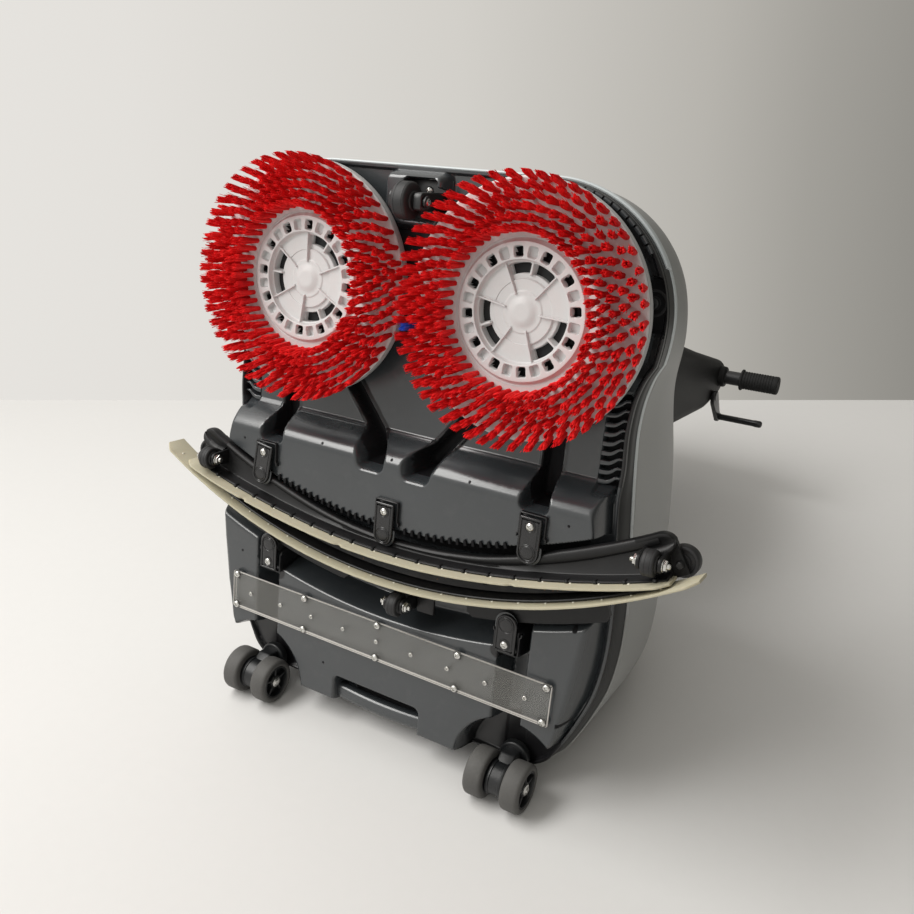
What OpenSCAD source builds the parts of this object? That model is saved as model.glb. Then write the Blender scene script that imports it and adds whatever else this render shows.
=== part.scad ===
// Twin-disc walk-behind scrubber dryer, standing on its tail with the underside shown.
// Every piece is drawn in the working position (x across, y rearward from the brush
// line, z up from the working floor) and then turned back onto its tail.

/* [Brushes] */
// Distance between the two brush spindles
brush_pitch = 286; // [284:1:292]
// Diameter of a brush board and its bristle field
brush_d = 282; // [262:1:282]
// Length of the bristles below the board
bristle_len = 29; // [25:1:34]
// Height of the board's lower face above the working floor
board_z = 42; // [40:1:43]
// Square pockets around each brush hub
hub_pockets = 24; // [12:2:24]
// Teeth on the large gear of each brush spindle
gear_teeth = 30; // [30:10:30]
// Teeth on the motor pinion
pinion_teeth = 10; // [10:1:10]

/* [Chassis] */
// Height of the flat underside above the working floor
block_z = 35; // [34.6:0.1:36]
// Height of the recessed brush deck above the working floor
deck_z = 78; // [77:0.5:80]
// Thickness of the moulded shell
shell_t = 5; // [4:0.5:6]
// Front edge of the body, measured forward from the brush line
nose = 137; // [134:1:139]
// Rear edge of the underside, measured behind the brush line
tail = 541; // [538:1:544]
// Louvre slots on each side of the deck
louvres = 9; // [5:1:9]

/* [Tank] */
// Height of the seam between underside and tank
seam_z = 105; // [104:1:108]
// Height of the flat tank top
tank_top = 420; // [414:1:424]

/* [Squeegee] */
// Radius of the arc that the rear blade follows
arc_r = 671; // [669:0.5:672]
// Distance of the arc centre in front of the brush line
arc_c = 339; // [337:1:340]
// Half angle of the squeegee plate
arc_half = 31; // [30.6:0.1:31.4]
// Swing of the squeegee to the right as it stands
swing = 2.5; // [-4:0.5:4]
// Thickness of the blades
blade_t = 3; // [2:0.5:3]

/* [Casters] */
// Distance of each caster stem from the middle
caster_x = 188; // [184:1:190]
// Caster wheel radius
wheel_r = 30; // [28:0.5:30]
// Caster wheel width
wheel_w = 25; // [20:1:25]
// Trail of the wheel axle behind the stem
trail = 13; // [10:0.5:13]

/* [Handle] */
// Width of the console
console_w = 300; // [280:2:310]
// Length of the handle bar across the machine
bar_len = 510; // [480:2:540]
// Radius of the handle bar
bar_r = 13; // [11:0.5:14]

/* [Hidden] */
$fn = 48;
lean = 9.42;                       // tipped past upright by this angle
bx = brush_pitch/2;
br = brush_d/2;
stem_y = 528;
hub_y = stem_y + trail;
C0 = [0, -arc_c];
rest_z = (stem_y+13)*cos(lean) + 30*sin(lean) + 30;      // floor under the wheels
wheel_drop = rest_z - (hub_y*cos(lean) + wheel_r*sin(lean) + wheel_r);
wall_gap = rest_z - (545*cos(lean) + 105*sin(lean));      // rear wall to floor
foot_z = 372;
foot_y = 545 - (foot_z-105)*tan(lean);
rest_y = -(-foot_y*sin(lean) + foot_z*cos(lean));
gear_m = 120/gear_teeth;
pin_dist = gear_m*(gear_teeth+pinion_teeth)/2;

// ---- placing -------------------------------------------------------------
module at_rest() translate([0, rest_y, rest_z]) rotate([-(90+lean), 0, 0]) children();
module swung() translate([0, -arc_c, 0]) rotate([0, 0, -swing]) translate([0, arc_c, 0]) children();
module rod(r, x0, x1) translate([x0, 0, 0]) rotate([0, 90, 0]) cylinder(r=r, h=x1-x0);
module along_x(w) rotate([90, 0, 90]) translate([0, 0, -w/2]) linear_extrude(w) children();

// ---- plan outline of the body, drawn in by i ------------------------------
function nose_arc(i) = [for (a=[-90:15:15]) let (r=nose-i+8*(a+90)/90) [bx+r*cos(a), r*sin(a)]];
function flank(i) = [[276-i,56],[269-i,84],[267.5-i,116],[271-i,168],[277-i,232],[285-i,304],[286.5-i,348],[283-i,398],[268-i,453],[255-i,484-i/2]];
function tail_end(i, t) = [[236-i,518-i/2],[214-i,t-6-i],[198-i,t-i]];
function half(i, t) = concat(nose_arc(i), flank(i), tail_end(i, t));
function flip(p) = [for (k=[len(p)-1:-1:0]) [-p[k][0], p[k][1]]];
function outline(i, t) = concat(half(i, t), flip(half(i, t)));
module wedge(a) polygon([[0,-arc_c],[-1100*tan(a),1100-arc_c],[1100*tan(a),1100-arc_c]]);
module ring(r0, r1) translate(C0) difference() { circle(r=r1, $fn=96); circle(r=r0, $fn=96); }
module disc(r) translate(C0) circle(r=r, $fn=96);

// ---- chassis ---------------------------------------------------------------
module grooves(g) {
  for (s=[-1,1]) {
    translate([s*184.5-16.5-g, 150]) square([33+2*g, 58+g]);
    translate([s*31, 192]) circle(r=19+g);
    translate([s*31, 192]) rotate(s*37.5) translate([-17-g, -110]) square([34+2*g, 110]);
  }
}
module front_block(i) difference() {
  intersection() {
    polygon(outline(17+i, tail));
    disc(612-i);
    translate([-320, 184+i]) square([640, 200]);
  }
  grooves(i);
}
module rear_block(i) difference() {
  union() {
    intersection() {
      polygon(outline(6+i, tail));
      difference() { translate([-165+i, 300]) square([330-2*i, 300]); disc(728+i); }
    }
    for (s=[-1,1]) intersection() {
      polygon(outline(18+i, tail));
      difference() {
        translate([s*244.5-45.5+i, 280]) square([91-2*i, 212-i]);
        disc(707+i);
      }
    }
  }
  for (s=[-1,1]) translate([s*(caster_x+3), stem_y+12]) circle(r=70+i);
  translate([-64-i, 502-i]) square([128+2*i, 60]);
}
module chassis_shell() color([0.20,0.22,0.24]) at_rest() difference() {
  union() {
    translate([0,0,deck_z]) linear_extrude(6) polygon(outline(1, tail));
    translate([0,0,deck_z-6]) linear_extrude(seam_z-deck_z+6) difference() {
      polygon(outline(0, tail)); polygon(outline(shell_t, tail));
    }
    translate([0,0,block_z]) linear_extrude(deck_z-block_z+1) { front_block(0); rear_block(0); }
    for (s=[-1,1]) {
      translate([s*174-15, 352, block_z]) cube([30, 36, deck_z-block_z+1]);
      translate([s*caster_x, stem_y-6, deck_z]) cylinder(r=17, h=26);
    }
    translate([0, 531, 52]) rod(8.5, -67, 67);
  }
  translate([0,0,block_z+shell_t]) linear_extrude(60) difference() {
    union() { front_block(shell_t); rear_block(shell_t); }
    translate([-66, 499]) square([132, 60]);
    translate([250, 330]) circle(r=9);
  }
  for (s=[-1,1]) {
    translate([s*bx, 0, 60]) cylinder(r=17, h=60);
    translate([s*caster_x, stem_y, 60]) cylinder(r=8.05, h=60);
    for (k=[0:louvres-1]) translate([s*251.5-11.5, 80+10.5*k-2.5, 60]) cube([23, 5, 60]);
    translate([s*275-22, -53, deck_z+6]) cube([44, 58, 60]);
    translate([s*268, -24, 70]) cylinder(r=4, h=40);
    for (p=[[188,223.5],[174,369.8]]) translate([s*p[0], p[1], 30]) cylinder(r=2.6, h=22);
  }
  translate([0, 255.1, 30]) cylinder(r=2.6, h=22);
  for (x=[-229.4:114.7:230], y=[405.8,449.8]) translate([x, y, 30]) cylinder(r=2.1, h=14);
  translate([250, 330, 30]) cylinder(r=3, h=30);
  translate([0, 335, 60]) cylinder(r=18, h=60);
  for (y=[-113,-89]) translate([0, y, 60]) cylinder(r=2.6, h=60);
}

// ---- tank ------------------------------------------------------------------
function tank_side(i) = [[-nose+i,0],[-nose+i,118],[-133+i,150-i/2],[-125+i,180-i],[-111+i,210-i],[-84,250-i],[-48,290-i],[-3,330-i],
  [52,370-i],[99,400-i],[140,tank_top-i],[476-i,tank_top-i],[487-i,tank_top-8-i],[545-i-(tank_top-30-105)*tan(lean),tank_top-30],
  [545-i,105],[545-i+105*tan(lean),0]];
function tank_half(i) = [[300,0],[300,150],[276-i,200],[266-i,270],[258-i,320],[244-i,362],[222-i,392-i],[194-i,412-i],[166,tank_top-i]];
// rounds the two front corners off towards the top
function tank_nose(i) = [[-266+i,0],[-266+i,115],[-262+i,150-i/2],[-254+i,180-i],[-240+i,210-i],[-213+i,250-i],[-190+i,290-i],[-170+i,330-i],[-150+i,370-i],
  [-122+i,430],[900,430],[900,0]];
module tank_form(i) intersection() {
  translate([0,0,seam_z-(i>0?1:0)]) linear_extrude(400) polygon(outline(i, 545));
  along_x(640) polygon(tank_side(i));
  translate([0,700,0]) rotate([90,0,0]) linear_extrude(900) polygon(concat(tank_half(i), flip(tank_half(i))));
  rotate([0,0,60]) along_x(1800) polygon(tank_nose(i));
  rotate([0,0,-60]) along_x(1800) polygon(tank_nose(i));
}
module tank_body() color([0.62,0.63,0.62]) at_rest() difference() {
  union() {
    difference() { tank_form(0); tank_form(shell_t); }
    for (s=[-1,1]) hull() {
      translate([s*91-7, 145, 442]) rod(20, 0, 14);
      translate([s*91-7, 118, tank_top-4]) cube([14, 54, 2]);
    }
    translate([0, 400, tank_top-6]) cylinder(r=44, h=14);
  }
  translate([0, 145, 442]) rod(10, -110, 110);
  translate([0, 400, tank_top-20]) cylinder(r=34, h=40);
}
module tail_foot() color([0.12,0.12,0.13]) difference() {
  translate([-160, -20, 0]) cube([320, 40, wall_gap]);
  for (x=[-120,120]) translate([x, 0, -1]) cylinder(r=6, h=5);
}
module filler_cap() color([0.16,0.35,0.62]) at_rest() translate([0, 400, 0]) {
  translate([0,0,tank_top+8.3]) cylinder(r=48, h=16);
  translate([0,0,tank_top-14]) cylinder(r=33.7, h=22.4);
  translate([-40,-6,tank_top+20]) cube([80, 12, 14]);
}

// ---- drive -----------------------------------------------------------------
function tooth(rp, n, k, th) = let (a=360*k/n, m=gear_m, h=0.40*PI*m/2)
  [for (q=[[-1,-1.05,1.35],[-1,0.8,0.45],[1,0.8,0.45],[1,-1.05,1.35]])
    let (r=rp+q[1]*m, w=q[0]*q[2]*h/r*180/PI) [r*cos(a+w+th), r*sin(a+w+th)]];
module gear2d(n, th) polygon([for (k=[0:n-1]) each tooth(gear_m*n/2, n, k, th)]);
module gearbox(s) color([0.45,0.46,0.47]) at_rest() translate([s*bx,0,0]) difference() {
  union() {
    translate([0,0,deck_z+6]) cylinder(r=72, h=30);
    translate([0,pin_dist,deck_z+6]) cylinder(r=34, h=30);
  }
  translate([0,0,deck_z+11]) cylinder(r=66, h=20);
  translate([0,pin_dist,deck_z+11]) cylinder(r=27, h=20);
  translate([0,0,deck_z]) cylinder(r=10.05, h=60);
  translate([0,pin_dist,deck_z+20]) cylinder(r=5.05, h=60);
}
module left_gearbox() gearbox(-1);
module right_gearbox() gearbox(1);
module motor(s) color([0.25,0.26,0.28]) at_rest() translate([s*bx,pin_dist,deck_z+36]) difference() {
  union() {
    cylinder(r=44, h=92);
    translate([0,0,92]) cylinder(r=30, h=14);
    for (a=[0:45:315]) rotate(a) translate([43,-2,10]) cube([5, 4, 72]);
  }
  translate([0,0,-1]) cylinder(r=5.05, h=96);
}
module left_motor() motor(-1);
module right_motor() motor(1);
module pinion(s) color([0.7,0.7,0.72]) at_rest() translate([s*bx,pin_dist,0]) {
  translate([0,0,deck_z+13]) linear_extrude(16) gear2d(pinion_teeth, -90+180/pinion_teeth);
  translate([0,0,deck_z+13]) cylinder(r=5, h=110);
}
module left_pinion() pinion(-1);
module right_pinion() pinion(1);
module spindle(s) color([0.68,0.68,0.70]) at_rest() translate([s*bx,0,0]) difference() {
  union() {
    translate([0,0,deck_z+13]) linear_extrude(16) gear2d(gear_teeth, 90);
    translate([0,0,board_z+12]) cylinder(r=10, h=deck_z+40-board_z-12);
    translate([0,0,board_z+12]) cylinder(r=38, h=8);
    translate([0,0,board_z+20]) cylinder(r=22, h=10);
  }
  for (a=[0:60:300]) rotate(a) translate([45,0,deck_z]) cylinder(r=9, h=40);
}
module left_spindle() spindle(-1);
module right_spindle() spindle(1);

// ---- brushes ---------------------------------------------------------------
module brush_board(s) color([0.80,0.80,0.80]) at_rest() translate([s*bx,0,board_z]) rotate(s<0?3.4:6.8) difference() {
  union() {
    difference() { cylinder(r=br, h=12); translate([0,0,-1]) cylinder(r=54, h=9); }
    translate([0,0,-4]) difference() { cylinder(r=73, h=6); translate([0,0,-1]) cylinder(r=54, h=9); }
    translate([0,0,4]) cylinder(r=35, h=6);
    translate([0,0,1]) cylinder(r=21, h=6);
    for (a=[0:120:240], d=[-26,26]) rotate(a+d) translate([20,-1.2,1]) cube([35, 2.4, 9]);
    for (a=[0:120:240]) rotate(a) intersection() {
      translate([0,0,4]) difference() { cylinder(r=54.5, h=6); translate([0,0,-1]) cylinder(r=34, h=9); }
      linear_extrude(40) polygon([[0,0],[70,-70*tan(26)],[70,70*tan(26)]]);
    }
  }
  for (k=[0:hub_pockets-1]) rotate(k*360/hub_pockets) translate([62.5-4.5,-4.5,-6]) cube([9, 9, k%2==0 ? 40 : 7]);
  for (a=[60:120:300], d=[-17,17]) rotate(a+d) intersection() {
    translate([0,0,-10]) difference() { cylinder(r=51, h=40); translate([0,0,-1]) cylinder(r=41, h=50); }
    translate([0,0,-10]) linear_extrude(40) polygon([[0,0],[70,-70*tan(14)],[70,70*tan(14)]]);
  }
}
module left_brush_board() brush_board(-1);
module right_brush_board() brush_board(1);
module bristles(s) color([0.78,0.05,0.05]) at_rest() translate([s*bx,0,board_z-bristle_len]) difference() {
  cylinder(r=br, h=bristle_len); translate([0,0,-1]) cylinder(r=80, h=bristle_len+2);
}
module left_bristles() bristles(-1);
module right_bristles() bristles(1);

// ---- inside the tank -------------------------------------------------------
module battery_pack() color([0.10,0.10,0.11]) at_rest() for (s=[-1,1]) translate([s*112-74, 216, deck_z+6]) {
  cube([148, 212, 146]);
  for (y=[30,182]) translate([74, y, 146]) cylinder(r=8, h=10);
}
module recovery_tank() color([0.75,0.77,0.78]) at_rest() difference() {
  translate([-180, 205, 246]) cube([360, 245, 150]);
  translate([-176, 209, 250]) cube([352, 237, 142]);
  translate([0, 335, 240]) cylinder(r=18, h=12);
}
module vacuum_motor() color([0.30,0.31,0.33]) at_rest() translate([0, 62, deck_z+6]) difference() {
  union() { cylinder(r=50, h=70); translate([0,0,70]) cylinder(r=40, h=60); }
  translate([0,0,-1]) cylinder(r=24, h=20);
}
module suction_duct() color([0.15,0.15,0.16]) at_rest() translate([0, 335, deck_z+6]) difference() {
  cylinder(r=22, h=246-deck_z-6); translate([0,0,-1]) cylinder(r=18, h=260);
}

// ---- underside fittings ----------------------------------------------------
module splash_strip() color([0.75,0.78,0.76,0.5]) at_rest() difference() {
  translate([-236, 402, block_z-3]) cube([472, 51.6, 3]);
  for (x=[-229.4:114.7:230], y=[405.8,449.8]) translate([x, y, 30]) cylinder(r=2.1, h=14);
  for (k=[0:8]) translate([-205+k*51.25, 427.8, 30]) cylinder(r=1.6, h=14);
}
module strip_fasteners() color([0.75,0.75,0.76]) at_rest() {
  for (x=[-229.4:114.7:230], y=[405.8,449.8]) translate([x, y, 0]) {
    translate([0,0,block_z-6]) cylinder(r=4, h=3);
    translate([0,0,block_z-3.5]) cylinder(r=2, h=9);
  }
  for (k=[0:8]) translate([-205+k*51.25, 427.8, 0]) {
    translate([0,0,block_z-4.5]) cylinder(r=2.6, h=1.5);
    translate([0,0,block_z-3.5]) cylinder(r=1.5, h=3.4);
  }
}
module front_roller_bracket() color([0.20,0.22,0.24]) at_rest() translate([0,-101,0]) difference() {
  union() {
    translate([-30,-24,deck_z-4]) cube([60, 48, 4]);
    for (s=[-1,1]) translate([s*22.5-4.5,-9,20]) cube([9, 18, deck_z-22]);
  }
  translate([0,0,28]) rod(4, -40, 40);
  for (y=[-12,12]) translate([0, y, 60]) cylinder(r=2.6, h=60);
}
module roller_axles() color([0.75,0.75,0.76]) at_rest() {
  translate([0,-101,28]) { rod(4, -33, 33); rod(6.5, 27, 31); rod(6.5, -31, -27); }
  for (y=[-113,-89]) translate([0, y, 0]) { translate([0,0,deck_z-4]) cylinder(r=2.5, h=14); translate([0,0,deck_z-7]) cylinder(r=4.5, h=3); }
  for (s=[-1,1]) translate([s*268,-24,deck_z-2]) { cylinder(r=4, h=27); cylinder(r=7, h=2); }
}
module front_roller() color([0.14,0.14,0.15]) at_rest() translate([0,-101,28]) difference() {
  union() { rod(20, -13, 13); rod(17, -16, 16); }
  rod(4.05, -40, 40);
}
module side_roller(s) color([0.13,0.13,0.14]) at_rest() translate([s*268,-24,deck_z+8.5]) difference() {
  cylinder(r=20, h=15); translate([0,0,-1]) cylinder(r=4.05, h=30);
}
module left_side_roller() side_roller(-1);
module right_side_roller() side_roller(1);

// latch: p = screw, d = direction and length to the round end
module latch(p, d) color([0.05,0.05,0.06]) at_rest() translate([p[0], p[1], 0]) rotate(d[1]) difference() {
  union() {
    translate([-13,-12,block_z-8.5]) cube([26, 12+d[0], 8]);
    translate([0,d[0],block_z-8.5]) cylinder(r=13, h=8);
    translate([0,d[0],block_z-9.7]) cylinder(r=8, h=2);
    translate([-13,-12,block_z-11]) cube([3, 12+d[0], 3]);
    translate([10,-12,block_z-11]) cube([3, 12+d[0], 3]);
  }
  cylinder(r=2.55, h=60);
}
module front_left_latch() latch([-188,223.5], [30,0]);
module front_right_latch() latch([188,223.5], [30,0]);
module front_centre_latch() latch([0,255.1], [29,0]);
module rear_left_latch() latch([-174,369.8], [24,180]);
module rear_right_latch() latch([174,369.8], [24,180]);
module latch_screws() color([0.75,0.75,0.76]) at_rest()
  for (p=[[-188,223.5],[188,223.5],[0,255.1],[-174,369.8],[174,369.8]]) translate([p[0],p[1],0]) {
    translate([0,0,block_z-12.8]) cylinder(r=4.6, h=4);
    translate([0,0,block_z-9]) cylinder(r=2.5, h=22);
  }

// ---- squeegee --------------------------------------------------------------
fc = 600;                            // arc centre of the flatter front blade
fr = 904;                            // and its radius
end_a = 27.4;                        // place of the end rollers along the arc
bump_a = 29.4;
end_x = 645*sin(end_a);  end_y = 645*cos(end_a)-arc_c;
bump_x = 662*sin(bump_a); bump_y = 662*cos(bump_a)-arc_c;
module fring(r0, r1) translate([0,-fc]) difference() { circle(r=r1, $fn=96); circle(r=r0, $fn=96); }
module squeegee_frame() color([0.04,0.04,0.05]) at_rest() swung() difference() {
  union() {
    translate([0,0,block_z+0.3]) linear_extrude(10) intersection() { ring(619, arc_r-blade_t); wedge(arc_half); }
    translate([0,0,18]) linear_extrude(block_z-16) intersection() { fring(fr-4.5, fr-1.5); wedge(27.2); }
    translate([0,0,18]) linear_extrude(block_z-16) intersection() { ring(arc_r-blade_t-4, arc_r-blade_t); wedge(30); }
    for (s=[-1,1]) translate([0,0,block_z+0.3]) linear_extrude(6) intersection() {
      ring(arc_r-blade_t-4, 703);
      polygon([[0,-arc_c],[s*1100*tan(7),1100-arc_c],[s*1100*tan(21.5),1100-arc_c]]);
    }
    translate([-13, 326, block_z+0.3]) cube([26, 45, 6]);
    for (q=[[end_x,end_y],[-end_x,end_y],[0,360]], d=[-11,11])
      translate([q[0]+d-2, q[1]-8, 8]) cube([4, 16, block_z-4]);
  }
  translate([0,0,-1]) linear_extrude(block_z+1.3) intersection() { fring(fr-1.5, fr-1.5+blade_t); wedge(28.5); }
  for (q=[[end_x,end_y],[-end_x,end_y],[0,360]]) translate([q[0],q[1],14.5]) rod(3, -20, 20);
  for (s=[-1,1]) translate([s*bump_x, bump_y, 10]) cylinder(r=4, h=60);
  translate([0, 317, 20]) cylinder(r=9, h=60);
}
module front_blade() color([0.76,0.71,0.58]) at_rest() swung() translate([0,0,0.5]) linear_extrude(block_z-0.2) intersection() { fring(fr-1.5, fr-1.5+blade_t); wedge(28.5); }
module rear_blade() color([0.78,0.73,0.60]) at_rest() swung() linear_extrude(block_z) intersection() { ring(arc_r-blade_t, arc_r); wedge(32.2); }
module blade_clamp() color([0.07,0.07,0.08]) at_rest() swung() difference() {
  translate([0,0,16]) linear_extrude(14) intersection() { ring(arc_r, arc_r+3); wedge(27); }
}
module roller_bolts() color([0.75,0.75,0.76]) at_rest() swung() {
  for (q=[[end_x,end_y],[-end_x,end_y],[0,360]]) translate([q[0],q[1],14.5]) {
    rod(3, -16, 16); rod(4.5, 13, 16.5); rod(5, -17, -13);
  }
  for (s=[-1,1]) translate([s*bump_x, bump_y, block_z+0.3]) { cylinder(r=4, h=28); translate([0,0,25.5]) cylinder(r=7, h=3); }
}
module bolt_roller(q) color([0.13,0.13,0.14]) at_rest() swung() translate([q[0],q[1],14.5]) difference() {
  union() { rod(14, -7, 7); rod(9, -8.5, 8.5); }
  rod(3.05, -20, 20);
}
module left_end_roller() bolt_roller([-end_x,end_y]);
module right_end_roller() bolt_roller([end_x,end_y]);
module rear_roller() bolt_roller([0,360]);
module bumper_wheel(s) color([0.12,0.12,0.13]) at_rest() swung() translate([s*bump_x, bump_y, block_z+11]) difference() {
  cylinder(r=17, h=14); translate([0,0,-1]) cylinder(r=4.05, h=30);
}
module left_bumper_wheel() bumper_wheel(-1);
module right_bumper_wheel() bumper_wheel(1);

// ---- casters ---------------------------------------------------------------
module caster_fork(s) color([0.06,0.06,0.07]) at_rest() translate([s*caster_x, 0, 0]) difference() {
  union() {
    translate([0, hub_y, wheel_r]) rod(21, -10.5, 10.5);
    translate([-10.5, stem_y-14, wheel_r+6]) cube([21, 30, 34]);
    translate([0, stem_y, wheel_r+33]) cylinder(r=19, h=deck_z-wheel_r-40);
    translate([0, stem_y, wheel_r+40]) cylinder(r=8, h=deck_z+22-wheel_r-40);
  }
  translate([0, hub_y, wheel_r]) rod(4, -30, 30);
}
module left_caster_fork() caster_fork(-1);
module right_caster_fork() caster_fork(1);
module caster_axle(s) color([0.72,0.72,0.72]) at_rest() translate([s*caster_x, hub_y, wheel_r]) {
  rod(4, -(wheel_w+11.5), wheel_w+11.5); rod(7, wheel_w+9, wheel_w+11.5); rod(7, -wheel_w-11.5, -wheel_w-9);
}
module left_caster_axle() caster_axle(-1);
module right_caster_axle() caster_axle(1);
module wheel(s, o) color([0.22,0.22,0.23]) at_rest() translate([s*caster_x, hub_y, wheel_r]) mirror([o<0?1:0,0,0]) rotate([0,90,0]) translate([0,0,11.5])
  difference() {
    rotate_extrude() polygon([[4.05,0],[wheel_r-4,0],[wheel_r-1,1.5],[wheel_r,4],[wheel_r,wheel_w-4],[wheel_r-1,wheel_w-1.5],[wheel_r-4,wheel_w],
      [wheel_r-8,wheel_w],[wheel_r-9,wheel_w-6],[9,wheel_w-6],[9,wheel_w-3],[4.05,wheel_w-3]]);
    for (a=[0:72:288]) rotate(a) translate([15,0,wheel_w-9]) cylinder(r=3.2, h=20);
  }
module left_outer_wheel() wheel(-1, -1);
module left_inner_wheel() wheel(-1, 1);
module right_inner_wheel() wheel(1, -1);
module right_outer_wheel() wheel(1, 1);

// ---- handle ----------------------------------------------------------------
function col_side(i) = [[96+i,470+i],[160-i,470+i],[200-i,506+i],[238-i,640],[242-i,880],[226-i,972-i],[192,1003-i],[160+i,988-i],[124+i,800],[90+i,640],[84+i,506]];
module handle_column() color([0.20,0.20,0.21]) at_rest() difference() {
  union() {
    difference() { along_x(console_w) polygon(col_side(0)); along_x(console_w-10) polygon(col_side(5)); }
    for (s=[-1,1]) difference() {
      union() {
        translate([s*74-8, 145, 442]) rod(20, 0, 16);
        translate([s*74-8, 125, 442]) cube([16, 35, 32]);
      }
    }
    translate([-40, 225, 895]) cube([80, 10, 70]);
    translate([0, 216, 905]) rod(5, console_w/2-5, console_w/2+10);
  }
  translate([0, 145, 442]) rod(10.05, -140, 140);
  translate([0, 185, 950]) rod(bar_r, -300, 300);
  for (x=[-22,22]) translate([x, 200, 925]) rotate([-90,0,0]) cylinder(r=9.3, h=60);
  translate([128, 60, 655]) rotate([-90,0,0]) cylinder(r=4.05, h=60);
}
module hinge_pins() color([0.72,0.72,0.72]) at_rest() translate([0, 145, 442]) { rod(10, -104, 104); rod(14, 98.5, 104); rod(14, -104, -98.5); }
module handle_bar() color([0.10,0.10,0.11]) at_rest() translate([0, 185, 950]) difference() {
  rod(bar_r, -bar_len/2, bar_len/2); rod(bar_r-2.5, -bar_len/2-1, bar_len/2+1);
}
module handle_grips() color([0.05,0.05,0.05]) at_rest() translate([0, 185, 950]) for (s=[-1,1]) difference() {
  union() {
    if (s>0) rod(bar_r+4, bar_len/2-66, bar_len/2+3); else rod(bar_r+4, -bar_len/2-3, -bar_len/2+66);
    translate([s*(bar_len/2-66)-2,0,0]) rod(bar_r+7, 0, 4);
  }
  rod(bar_r, -bar_len/2, bar_len/2);
}
module drive_lever() color([0.08,0.08,0.09]) at_rest() difference() {
  union() {
    translate([console_w/2+5, 0, 0]) along_x(8) polygon([[206,896],[228,893],[274,952],[274,974],[262,974],[256,958],[208,916]]);
    translate([0, 266, 962]) rod(6, console_w/2+4, bar_len/2-15);
  }
  translate([0, 216, 905]) rod(5.05, 100, 300);
}
module solution_knob() color([0.15,0.45,0.80]) at_rest() translate([128, 0, 655]) rotate([-90,0,0]) {
  translate([0,0,62]) difference() {
    cylinder(r=13, h=22);
    for (a=[0:45:315]) rotate(a) translate([14.2,0,-1]) cylinder(r=2.6, h=18);
  }
  translate([0,0,80]) cylinder(r=4, h=30);
}
module push_button(x) at_rest() translate([x, 0, 925]) rotate([-90,0,0]) {
  translate([0,0,222]) cylinder(r=9, h=20);
  translate([0,0,216]) cylinder(r=11, h=8);
}
module start_button() color([0.10,0.50,0.20]) push_button(-22);
module suction_button() color([0.15,0.30,0.65]) push_button(22);

chassis_shell();
tank_body();
tail_foot();
left_gearbox();
right_gearbox();
left_motor();
right_motor();
battery_pack();
recovery_tank();
vacuum_motor();
suction_duct();
splash_strip();
strip_fasteners();
front_roller_bracket();
roller_axles();
latch_screws();
hinge_pins();
filler_cap();
left_brush_board();
left_bristles();
left_spindle();
right_brush_board();
right_bristles();
right_spindle();
left_pinion();
right_pinion();
squeegee_frame();
front_blade();
rear_blade();
blade_clamp();
roller_bolts();
left_end_roller();
right_end_roller();
left_bumper_wheel();
right_bumper_wheel();
rear_roller();
front_left_latch();
front_centre_latch();
front_right_latch();
rear_left_latch();
rear_right_latch();
left_caster_fork();
left_caster_axle();
right_caster_fork();
right_caster_axle();
left_outer_wheel();
left_inner_wheel();
right_inner_wheel();
right_outer_wheel();
front_roller();
left_side_roller();
right_side_roller();
handle_column();
handle_bar();
handle_grips();
drive_lever();
solution_knob();
start_button();
suction_button();
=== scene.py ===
import bpy
import math
import random
import numpy as np
from mathutils import Vector, Matrix


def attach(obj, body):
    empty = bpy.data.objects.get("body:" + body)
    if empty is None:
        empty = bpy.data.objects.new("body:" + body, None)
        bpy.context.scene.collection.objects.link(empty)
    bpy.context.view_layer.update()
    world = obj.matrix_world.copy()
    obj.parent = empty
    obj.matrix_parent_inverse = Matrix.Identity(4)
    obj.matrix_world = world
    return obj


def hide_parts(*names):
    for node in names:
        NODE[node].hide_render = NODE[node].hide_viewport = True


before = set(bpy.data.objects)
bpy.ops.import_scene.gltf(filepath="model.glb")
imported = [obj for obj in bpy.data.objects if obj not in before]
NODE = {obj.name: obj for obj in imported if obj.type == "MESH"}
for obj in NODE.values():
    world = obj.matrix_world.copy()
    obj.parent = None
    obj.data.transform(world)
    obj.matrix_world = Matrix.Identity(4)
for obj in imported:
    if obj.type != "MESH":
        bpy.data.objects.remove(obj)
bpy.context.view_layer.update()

rng = random.Random(11)
nrg = np.random.default_rng(11)

# ------------------------------------------------------------------ frame
# Pieces are laid out in the machine's working position, in millimetres: x across,
# y rearward from the brush line, z up from the working floor. row() turns them
# onto the tail, in metres.
LEAN = math.radians(9.42)
SL, CL = math.sin(LEAN), math.cos(LEAN)
RZ = 541 * CL + 30 * SL + 30
RY = -(-(545 - 267 * math.tan(LEAN)) * SL + 372 * CL)


def row(p):
    p = np.asarray(p, float)
    x, y, z = p[..., 0], p[..., 1], p[..., 2]
    return np.stack([x, -y * SL + z * CL + RY, -y * CL - z * SL + RZ], -1) / 1000.0


SWING = math.radians(-2.5)
ARC_C = 339.0


def swung(p, dx=8.4, turn=math.radians(-2.15)):
    p = np.array(p, float)
    x, y = p[..., 0].copy(), p[..., 1] + ARC_C
    p[..., 0] = x * math.cos(turn) - y * math.sin(turn) + dx
    p[..., 1] = x * math.sin(turn) + y * math.cos(turn) - ARC_C
    return p


# ------------------------------------------------------------------ maths
def sp(u, r):
    return np.where(u < -r, 0.0, np.where(u > r, u, (u + r) ** 2 / (4 * r)))


def ramp(t, r0=0.3, r1=0.3):
    return sp(t, r0) - sp(t - 1.0, r1)


def smax(a, b, k):
    h = np.maximum(k - np.abs(a - b), 0) / k
    return np.maximum(a, b) + h * h * k * 0.25


def smin(a, b, k):
    return -smax(-a, -b, k)


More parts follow.
